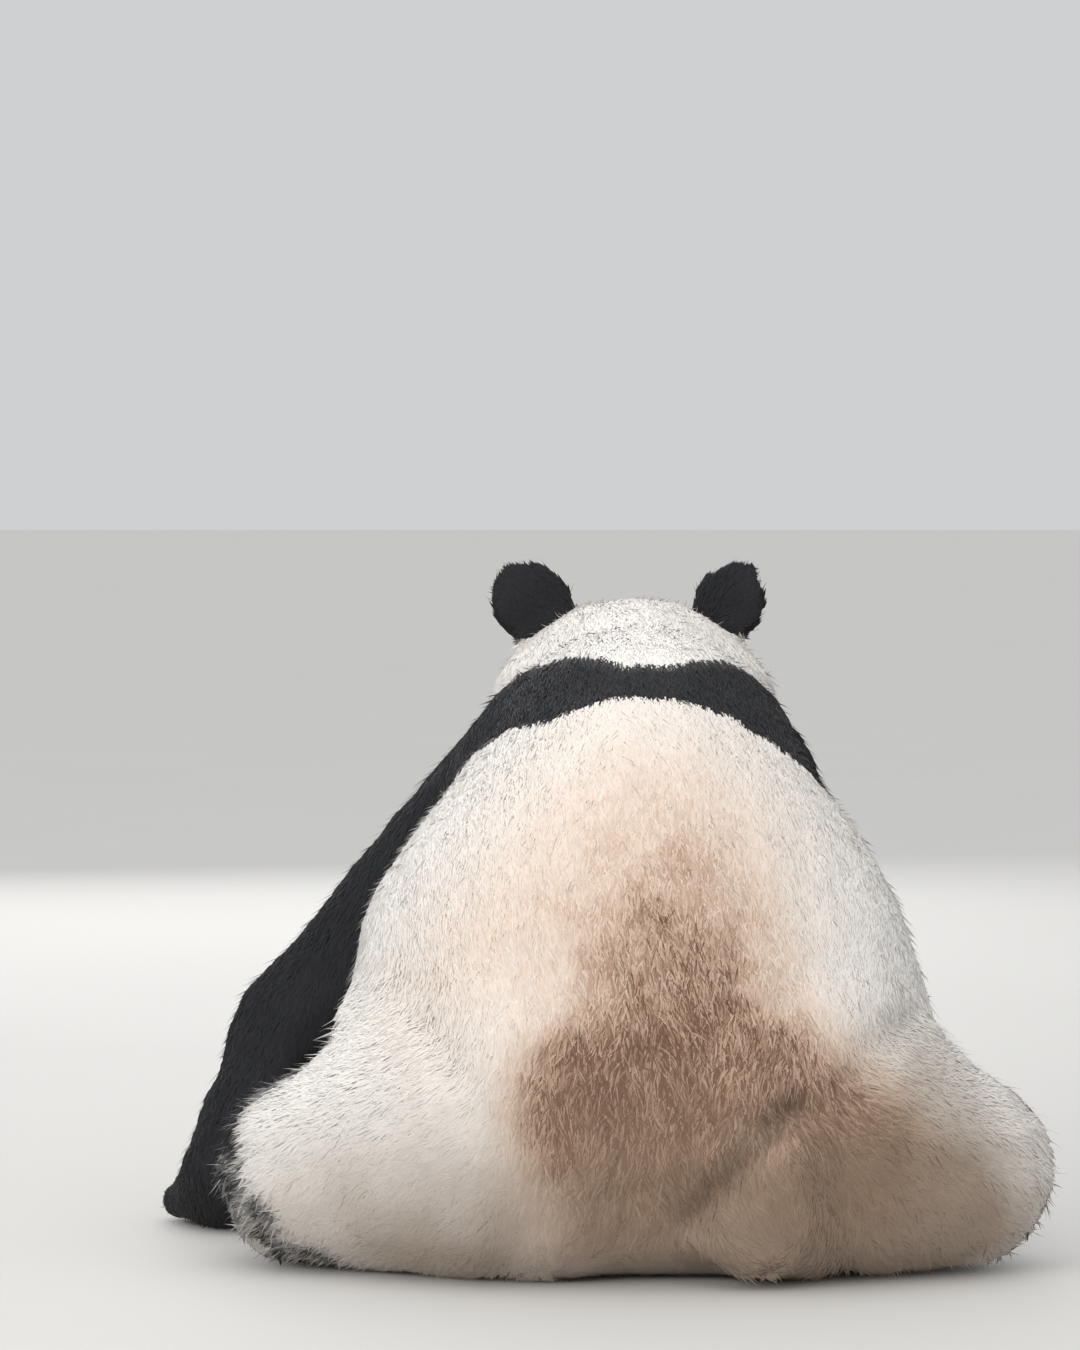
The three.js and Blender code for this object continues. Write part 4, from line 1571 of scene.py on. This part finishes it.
@dataclass
class Coat:
    """Tufts of fur over the whole skin, in parcels by part of the body and by colour."""

    skin: Skin
    seed: int = 5
    fewest: int = 40  # a parcel with fewer tufts is left out
    most: int = 47000  # tufts in one piece
    patch: float = 0.003  # size of a tuft on the unwrap
    sunk: float = 0.001  # how deep a root sits in the skin
    widest: float = 0.45  # share of a tuft's length up to its widest place
    crown: float = 0.12  # how far its widest place is raised, in widths
    arch: tuple[float, float] = (0.68, 0.50)  # heights of widest place and tip, in lengths times lift
    guard_share: float = 0.055  # longer hairs that stand out a little
    yaw: float = 12.0  # degrees
    muzzle_reach: tuple[float, float] = (0.05, 0.17)
    face_length: float = 0.0080
    face_width: float = 0.0013
    face_density: float = 34.0  # tufts for each square centimetre
    face_lift: float = 12.0  # degrees

    def build(self) -> "Coat":
        """Works out length, width and lift of the hair at each place, and the tufts of each triangle."""
        skin = self.skin
        length, width, density = (skin.blend(key) for key in ("length", "width", "per_cm2"))
        lift = np.radians(skin.blend("lift"))
        p = skin.surface.points
        head = share_of(skin.shares, Part.HEAD)
        gap = np.linalg.norm(p - skin.anatomy.joints["nose"], axis=1)
        face = head * ease(gap, self.muzzle_reach[1], self.muzzle_reach[0])
        rim = np.ones(len(p))
        for side in SIDES:
            eye = np.linalg.norm(p - skin.anatomy.eyes[side], axis=1)
            face = np.maximum(face, head * ease(eye, 0.055, 0.026))
            rim = np.minimum(rim, ease(skin.eye_place(p, side)[2], 1.2, 4.0) + (eye > 0.04))
        length = (length * (1.0 - face) + self.face_length * face) * (0.35 + 0.65 * np.minimum(rim, 1.0))
        density = density * (1.0 - face) + self.face_density * face
        lift = lift * (1.0 - face) + np.radians(self.face_lift) * face
        resting = ease(-skin.normals[:, 2], 0.6, 0.95) * ease(p[:, 2], 0.03, 0.012)
        density = density * (1.0 - 0.6 * resting) * (1.0 - skin.bare)
        upper_back = ease(p[:, 2], 0.40, 0.62)
        rump = skin.rump(p)
        self.tangle = (0.34 - 0.20 * upper_back) * (1.0 - 0.8 * face) + 0.45 * rump
        self.length = length * (1.0 + 0.25 * rump)
        self.width = width * (1.0 - face) + self.face_width * face
        self.lift = lift * (1.0 - resting)
        area_cm2 = np.linalg.norm(skin.surface.face_cross(), axis=1) / 2.0 * 1e4
        self.weight = area_cm2 * density[skin.surface.faces].mean(axis=1)
        return self

    def parcels(self) -> dict[str, tuple[Array, str]]:
        """The skin's triangles by piece: for each piece its triangles and its slot."""
        skin = self.skin
        faces = skin.surface.faces
        region = skin.shares[faces].sum(axis=1).argmax(axis=1)
        dark = skin.black[faces].mean(axis=1) > 0.5
        weight = self.weight
        made = {}
        for index, part in enumerate(PARTS):
            for colour, chosen in (("white", ~dark), ("black", dark)):
                picked = np.flatnonzero((region == index) & chosen)
                count = weight[picked].sum()
                if count < self.fewest:
                    continue
                middle = skin.surface.points[faces[picked]].mean(axis=1)
                cuts = int(np.ceil(count / self.most))
                order = np.argsort(middle[:, 0] if part is Part.TRUNK else middle[:, 2], kind="stable")
                step = np.minimum(np.cumsum(weight[picked][order]) / count * cuts, cuts - 1e-9).astype(int)
                for cut in range(cuts):
                    name = f"coat_{part.value}_{colour}" + (f"_{cut + 1}" if cuts > 1 else "")
                    made[name] = (np.sort(picked[order[step == cut]]), f"{colour}_coat")
        return made

    def _roots(self, triangles: Array, rng: np.random.Generator) -> Roots:
        """Spreads roots evenly: every whole step of the running total of the weights gets one.

        Args:
            triangles: the skin triangles of a parcel.
            rng: the source of the places within the steps.

        Returns:
            The roots.
        """
        total = np.cumsum(self.weight[triangles])
        count = int(total[-1])
        step = (np.arange(count) + rng.random(count)) * total[-1] / count
        face = np.clip(np.searchsorted(total, step), 0, len(triangles) - 1)
        u, v = np.sqrt(rng.random(count)), rng.random(count)
        return Roots(triangles[face], np.stack([1.0 - u, u * (1.0 - v), u * v], axis=1))

    def _tufts(self, roots: Roots, rng: np.random.Generator) -> tuple[Array, Array]:
        """The places and the shading normals of the tufts that grow from the given roots.

        A tuft starts a little inside the skin, rises along the lie of the hair by its lift, widens to
        its middle and runs out to a point, slightly bent. Tips are drawn together in clumps.

        Args:
            roots: where the tufts grow.
            rng: the source of the differences between them.

        Returns:
            Places and normals, both of four rows for each tuft.
        """
        skin = self.skin
        faces = skin.surface.faces
        p = roots.read(faces, skin.surface.points)
        n = unit(roots.read(faces, skin.normals))
        t = roots.read(faces, skin.lie)
        count = len(p)
        guard = rng.random(count) < self.guard_share
        length = roots.read(faces, self.length) * rng.uniform(0.72, 1.18, count) * (1.0 + 0.22 * guard)
        width = roots.read(faces, self.width) * rng.uniform(0.8, 1.25, count) * (1.0 - 0.6 * guard)
        lift = roots.read(faces, self.lift) * rng.uniform(0.5, 1.4, count) * (1.0 + 0.5 * guard)
        tangle = roots.read(faces, self.tangle)
        t = unit(t - dot(t, n)[:, None] * n)
        side = np.cross(n, t)
        yaw = np.radians(self.yaw) * rng.normal(0.0, 1.0, count) * (0.7 + tangle)
        t = np.cos(yaw)[:, None] * t + np.sin(yaw)[:, None] * side
        tip = p + length[:, None] * t
        for size, share in ((0.034, 0.5), (0.014, 0.6)):
            draw = nearest_seed(tip, size, 61) - tip
            tip = tip + (share * tangle)[:, None] * (draw - dot(draw, n)[:, None] * n)
        t = unit(tip - p)
        side = np.cross(n, t)

        height = length * np.sin(lift)
        reach = (length * np.cos(lift))[:, None] * t
        sway = (rng.normal(0.0, 0.10, count) * length)[:, None] * side
        root = p - self.sunk * n
        bend = np.where(guard, self.widest, self.arch[0]) * height + self.crown * width
        ring = p + self.widest * reach + bend[:, None] * n + 0.2 * sway
        end = p + reach + (np.where(guard, 1.0, self.arch[1]) * height)[:, None] * n + sway
        half = (width / 2.0)[:, None] * side
        places = np.stack([root, ring - half, ring + half, end], axis=1)
        shading = np.stack([n, n - 0.25 * side, n + 0.25 * side, n + 0.2 * t], axis=1)
        places[..., 2] = np.maximum(places[..., 2], FLOOR_GAP)
        return places, unit(shading)

    def _unwrap(self, name: str, triangles: Array) -> Array:
        """Unwraps a stretch of the skin.

        Args:
            name: the piece that grows on it.
            triangles: its triangles.

        Returns:
            The flat place of each corner of each triangle, from 0 to 1.
        """
        patch = mesh_object(f"{name}_pattern", self.skin.surface.part(triangles))
        patch.data.uv_layers.new(name="flat")
        bpy.ops.object.select_all(action="DESELECT")
        bpy.context.view_layer.objects.active = patch
        patch.select_set(True)
        bpy.ops.object.mode_set(mode="EDIT")
        bpy.ops.mesh.select_all(action="SELECT")
        bpy.ops.uv.smart_project(angle_limit=np.radians(72.0), island_margin=0.01)
        bpy.ops.object.mode_set(mode="OBJECT")
        flat = np.empty(len(triangles) * 6, dtype=np.float32)
        patch.data.uv_layers["flat"].data.foreach_get("uv", flat)
        mesh = patch.data
        bpy.data.objects.remove(patch)
        bpy.data.meshes.remove(mesh)
        return flat.reshape(-1, 3, 2)

    def dress(self, fur: dict[str, bpy.types.Material]) -> None:
        """Grows every parcel and puts it into the scene.

        Args:
            fur: the material of each slot.
        """
        total = 0
        for order, (name, (triangles, slot)) in enumerate(self.parcels().items()):
            rng = np.random.default_rng(self.seed + order)
            roots = self._roots(triangles, rng)
            total += len(roots.face)
            self._piece(name, triangles, roots, rng, fur[slot], slot)
        LOG.info("coat: %d tufts, %d triangles", total, total * len(TUFT_FACES))

    def _piece(
        self,
        name: str,
        triangles: Array,
        roots: Roots,
        rng: np.random.Generator,
        material: bpy.types.Material,
        slot: str,
    ) -> None:
        """Grows one parcel as a mesh with its numbers, normals and unwrap.

        Args:
            name: the piece's name.
            triangles: the skin triangles that it covers, in rising order.
            roots: where its tufts grow.
            rng: the source of the differences between them.
            material: its fur.
            slot: the name of its material slot.
        """
        skin = self.skin
        count = len(roots.face)
        places, shading = self._tufts(roots, rng)
        faces = (TUFT_FACES[None] + len(TUFT_ALONG) * np.arange(count)[:, None, None]).reshape(-1, 3)
        obj = mesh_object(name, Surface(places.reshape(-1, 3), faces))
        p = 0.5 * places[:, 1:3].mean(axis=1) + 0.5 * places[:, 3]
        black = ease(skin.markings.black(p) + rng.uniform(-0.12, 0.12, count), 0.14, 0.86)
        warm = np.clip(skin.markings.warm(p) * rng.uniform(0.7, 1.25, count), 0.0, 1.0)
        uneven = 1.0 + (0.025 + 0.10 * skin.rump(p)) * noise(p, 0.014, 51)
        # The tone is darkened in the furrow beside the tail: painted shade.
        tone = rng.uniform(0.95, 1.03, count) * uneven * (1.0 - skin.markings.cleft(p))
        stored = {"black": black, "warm": warm, "dust": skin.markings.dust(p), "tone": tone}
        for key, values in stored.items():
            set_attribute(obj, key, np.repeat(values, len(TUFT_ALONG)))
        set_attribute(obj, "along", np.tile(TUFT_ALONG, count))
        corner = self._unwrap(name, triangles)[np.searchsorted(triangles, roots.face)]
        middle = np.einsum("ij,ijk->ik", roots.share, corner)
        flat = middle[:, None] + self.patch * TUFT_PATCH[None]
        layer = obj.data.uv_layers.new(name="OFBake")
        loops = np.clip(flat[:, TUFT_FACES], 0.0, 1.0).astype(np.float32)
        layer.data.foreach_set("uv", loops.ravel())
        # Light passes through thin hair: the skin below casts the shadow and takes the bounced light.
        obj.visible_shadow = False
        obj.visible_diffuse = False
        layer = obj.data.attributes.new("custom_normal", "FLOAT_VECTOR", "POINT")
        layer.data.foreach_set("vector", shading.astype(np.float32).ravel())
        finish_piece(obj, material, slot)


# ------------------------------------------------------------------ eyes, nose, claws and pads


def polar_grid(rings: int, around: int) -> tuple[Array, Array, Array]:
    """A closed ball of rings and spokes with one place at each pole.

    Args:
        rings: rings between the poles.
        around: places on a ring.

    Returns:
        The polar angle from 0 to pi and the turn of each place, and the triangles, facing outwards.
    """
    polar = np.linspace(0.0, np.pi, rings + 2)[1:-1]
    turn = np.arange(around) * 2.0 * np.pi / around
    angle, spin = (a.ravel() for a in np.meshgrid(polar, turn, indexing="ij"))
    angle = np.concatenate([[0.0], angle, [np.pi]])
    spin = np.concatenate([[0.0], spin, [0.0]])
    ring = np.arange(rings)[:, None] * around + 1
    here, after = np.arange(around)[None], (np.arange(around)[None] + 1) % around
    upper, lower = ring[:-1], ring[1:]
    first = np.stack([upper + here, lower + here, lower + after], axis=-1).reshape(-1, 3)
    second = np.stack([upper + here, lower + after, upper + after], axis=-1).reshape(-1, 3)
    top = np.stack([np.zeros(around, int), 1 + here[0], 1 + after[0]], axis=-1)
    base = ring[-1, 0]
    bottom = np.stack([np.full(around, len(angle) - 1), base + after[0], base + here[0]], axis=-1)
    return angle, spin, np.concatenate([first, second, top, bottom])


@dataclass(frozen=True)
class Eyes:
    """Two eyeballs with a slight bulge of the cornea over the iris."""

    anatomy: Anatomy
    bulge: float = 0.0011
    cornea: float = 0.55  # how wide the bulge is, as an angle

    def dress(self, material: bpy.types.Material) -> None:
        """Makes each eye as a ball of rings about the axis of sight, swelling towards the pupil.

        Args:
            material: the wet eyeball.
        """
        angle, spin, faces = polar_grid(40, 48)
        for side in SIDES:
            ahead = self.anatomy.sight(side)
            aside = unit(np.cross(ahead, np.array([0.0, 0.0, 1.0])))
            over = np.cross(aside, ahead)
            reach = self.anatomy.head.eye_radius + self.bulge * bell(angle, self.cornea)
            ring = np.sin(angle)[:, None] * (np.cos(spin)[:, None] * aside + np.sin(spin)[:, None] * over)
            points = self.anatomy.eyes[side] + reach[:, None] * (np.cos(angle)[:, None] * ahead + ring)
            obj = mesh_object(f"eyeball_{side}", closed_shape(points, faces))
            set_attribute(obj, "along", angle / np.pi)
            finish_piece(obj, material, "eye", f"eye_{side}")


@dataclass(frozen=True)
class Nose:
    """The bare nose: a broad rounded block with two comma-shaped nostrils and a groove below."""

    anatomy: Anatomy
    half_wide: float = 0.0290
    half_tall: float = 0.0172
    half_deep: float = 0.0130
    squareness: float = 2.5
    nostril_depth: float = 0.0068
    nostril_width: float = 0.0034
    groove_depth: float = 0.0028
    groove_width: float = 0.0013
    wing_height: float = 0.0012  # the raised rim above each nostril

    def dress(self, material: bpy.types.Material) -> None:
        """Rounds the block, narrows it downwards and presses the nostrils and the groove in.

        Args:
            material: bare black skin.
        """
        angle, spin, faces = polar_grid(120, 170)
        way = np.stack([np.sin(angle) * np.cos(spin), np.cos(angle), np.sin(angle) * np.sin(spin)], axis=1)
        half = np.array([self.half_wide, self.half_deep, self.half_tall])
        size = (np.abs(way / half) ** self.squareness).sum(axis=1) ** (-1.0 / self.squareness)
        q = way * size[:, None]
        q[:, 0] *= 1.0 - 0.30 * ease(-q[:, 2], -0.004, self.half_tall)
        x, z = np.abs(q[:, 0]), q[:, 2]
        turn = np.linspace(0.15, 1.0, 12) * np.pi
        comma = np.stack([0.0155 + 0.0068 * np.cos(turn), -0.0020 + 0.00496 * np.sin(turn)], axis=1)
        gap = distance_to_line(np.stack([x, z], axis=1), comma)
        front = ease(q[:, 1], 0.0, 0.006)
        nostril = self.nostril_depth * bell(gap, self.nostril_width)
        groove = self.groove_depth * bell(x, self.groove_width) * ease(z, 0.004, -0.003)
        wing = self.wing_height * bell(x - 0.018, 0.010) * ease(z, 0.0, 0.01)
        q[:, 1] -= (nostril + groove) * front
        q[:, 2] += wing * front
        points = self.anatomy.joints["nose"] + q @ self.anatomy.head_axes
        obj = mesh_object("nose_leather", closed_shape(points, faces))
        finish_piece(obj, material, "nose", "nose")


@dataclass(frozen=True)
class Claws:
    """Curved horn claws, five on each paw, joined by paw."""

    anatomy: Anatomy
    rings: int = 26
    around: int = 22
    half_wide: float = 0.0044
    half_tall: float = 0.0060

    def _claw(self, node: str, paw: Array) -> tuple[Array, Array]:
        """One claw swept along a bent line from its root over its middle to its tip.

        The line is a quadratic curve through three places read from the solid; the section is an
        upright oval that narrows towards the tip.

        Args:
            node: the solid's name.
            paw: the joint behind the toes.

        Returns:
            Its places and how far along the claw each lies.
        """
        solid = self.anatomy.solids[node].points
        gap = np.linalg.norm(solid - paw, axis=1)
        root = solid[gap <= np.quantile(gap, 0.28)].mean(axis=0)
        reach = np.linalg.norm(solid - root, axis=1)
        tip = solid[reach.argmax()]
        share = reach / reach.max()
        middle = solid[(share > 0.4) & (share < 0.75)].mean(axis=0)
        knot = 2.0 * middle - (root + tip) / 2.0
        angle, spin, _ = polar_grid(self.rings, self.around)
        t = (1.0 - np.cos(angle)) / 2.0
        line = ((1 - t) ** 2)[:, None] * root + (2 * t * (1 - t))[:, None] * knot + (t**2)[:, None] * tip
        ahead = unit((2 * (1 - t))[:, None] * (knot - root) + (2 * t)[:, None] * (tip - knot))
        aside = unit(np.cross(tip - root, middle - root) * np.ones_like(line))
        over = np.cross(aside, ahead)
        narrow = np.sin(angle) ** 0.45 * (1.0 - 0.78 * t**1.1)
        wide = (self.half_wide * narrow * np.cos(spin))[:, None]
        tall = (self.half_tall * narrow * np.sin(spin))[:, None]
        return line + wide * aside + tall * over, t

    def dress(self, material: bpy.types.Material) -> None:
        """Sweeps all twenty claws and joins each paw's five.

        Args:
            material: horn.
        """
        faces = polar_grid(self.rings, self.around)[2]
        for (limb, joint), side in product(LIMBS.items(), SIDES):
            nodes = [f"claw_{limb}_{side}_{i}" for i in TOES]
            swept = [self._claw(node, self.anatomy.joints[f"{joint}_{side}"]) for node in nodes]
            claws = join([closed_shape(points, faces) for points, _ in swept])
            obj = mesh_object(f"claws_{limb}_{side}", claws)
            set_attribute(obj, "along", np.concatenate([along for _, along in swept]))
            finish_piece(obj, material, "claw", *nodes)


@dataclass(frozen=True)
class Pads:
    """Bare pads on the upturned soles of the hind feet: one under each toe and a broad one behind."""

    skin: Skin
    toe: Place = (0.0095, 0.012, 0.0050)
    ball: Place = (0.038, 0.017, 0.0085)

    def dress(self, material: bpy.types.Material) -> None:
        """Lays flattened domes on the skin where the soles are.

        Args:
            material: bare skin, duller than the nose.
        """
        angle, spin, faces = polar_grid(22, 36)
        dome = np.stack([np.sin(angle) * np.cos(spin), np.sin(angle) * np.sin(spin), np.cos(angle)], axis=1)
        for side in SIDES:
            axes = self.skin.sole_axes(side)
            pads = []
            for order, (spot, _) in enumerate(self.skin.sole_spots(side), start=1):
                size = np.array(self.toe if order in TOES else self.ball)
                pads.append(closed_shape(spot + (dome * size) @ axes, faces))
            finish_piece(mesh_object(f"pads_hind_{side}", join(pads)), material, "nose")


# ------------------------------------------------------------------ studio


@dataclass(frozen=True)
class SoftBox:
    """A square studio light: where it hangs, its side and its power in watts."""

    name: str
    place: Place
    side: float
    watts: float
    colour: Colour = (1.0, 1.0, 1.0)


@dataclass(frozen=True)
class Studio:
    """The floor, the lights and the camera round the animal."""

    anatomy: Anatomy
    eye: Place = (0.2825, 6.4691, 0.9265)
    target: Place = (0.1287, -0.0236, 0.6602)
    lens: float = 151.4
    sensor: float = 36.0
    sight_reach: float = 60.0
    floor_half: float = 60.0
    lights: tuple[SoftBox, ...] = (
        SoftBox("top_light", (0.2, 0.9, 4.2), 3.6, 32.0, (1.0, 0.985, 0.96)),
        SoftBox("key_light", (3.4, 4.2, 3.0), 3.0, 96.0, (1.0, 0.985, 0.96)),
        SoftBox("face_light", (0.8, -5.0, 2.4), 3.2, 60.0),
    )
    aim_height: float = 0.45  # what the lights are turned to
    sky_power: float = 0.85  # watts for each square metre, from straight above
    sky_spread: float = 100.0  # degrees
    air: Colour = (0.80, 0.81, 0.82)
    air_power: float = 0.78

    def build(self) -> None:
        """Lays the floor, hangs the lights and sets up the camera."""
        half = self.floor_half
        corners = np.array([[-half, -half, 0.0], [half, -half, 0.0], [half, half, 0.0], [-half, half, 0.0]])
        floor = mesh_object("floor", Surface(corners, np.array([[0, 1, 2, 3]])), smooth=False)
        floor.data.materials.append(Ground("pale_floor").make())
        for light in self.lights:
            self._hang(light)
        sky = bpy.data.lights.new("sky", "SUN")
        sky.energy, sky.angle = self.sky_power, np.radians(self.sky_spread)
        bpy.context.scene.collection.objects.link(bpy.data.objects.new("sky", sky))
        world = bpy.data.worlds.new("pale_air")
        bpy.context.scene.world = world
        world.use_nodes = True
        background = world.node_tree.nodes["Background"].inputs
        background["Color"].default_value = (*self.air, 1.0)
        background["Strength"].default_value = self.air_power
        self._camera()

    def _hang(self, light: SoftBox) -> None:
        """Hangs one area light, turned to the animal's middle.

        Args:
            light: where it hangs and how strong it is.
        """
        lamp = bpy.data.lights.new(light.name, "AREA")
        lamp.shape, lamp.size, lamp.energy, lamp.color = "SQUARE", light.side, light.watts, light.colour
        obj = bpy.data.objects.new(light.name, lamp)
        bpy.context.scene.collection.objects.link(obj)
        obj.location = Vector(self.anatomy.origin) + Vector(light.place)
        aim = Vector(self.anatomy.origin) + Vector((0.0, 0.0, self.aim_height))
        obj.rotation_euler = (aim - obj.location).to_track_quat("-Z", "Y").to_euler()

    def _camera(self) -> None:
        """The camera stands behind the animal, a little to its left, and looks slightly down."""
        data = bpy.data.cameras.new("camera")
        data.lens, data.sensor_width, data.sensor_fit = self.lens, self.sensor, "AUTO"
        data.clip_end = self.sight_reach
        obj = bpy.data.objects.new("camera", data)
        bpy.context.scene.collection.objects.link(obj)
        obj.location = Vector(self.anatomy.origin) + Vector(self.eye)
        way = Vector(self.target) - Vector(self.eye)
        obj.rotation_euler = way.to_track_quat("-Z", "Y").to_euler()
        bpy.context.scene.camera = obj
        bpy.context.scene.view_settings.view_transform = "Standard"


def main() -> None:
    """Builds the animal piece by piece, then the studio."""
    logging.basicConfig(level=logging.INFO, format="%(message)s")
    anatomy = Anatomy()
    Studio(anatomy).build()
    skin = Skin(anatomy, Markings(anatomy)).build()
    skin.dress(Fur("skin_fur", True).make())
    white, black = Fur("white_fur", False), Fur("black_fur", False, sheen=0.02, gloss=0.12)
    Coat(skin).build().dress({"white_coat": white.make(), "black_coat": black.make()})
    Eyes(anatomy).dress(Wet("wet_eye").make())
    Nose(anatomy).dress(BareSkin("nose_leather").make())
    Claws(anatomy).dress(Horn("claw_horn").make())
    Pads(skin).dress(BareSkin("pad_leather", roughness=0.6).make())


if __name__ == "__main__":
    main()
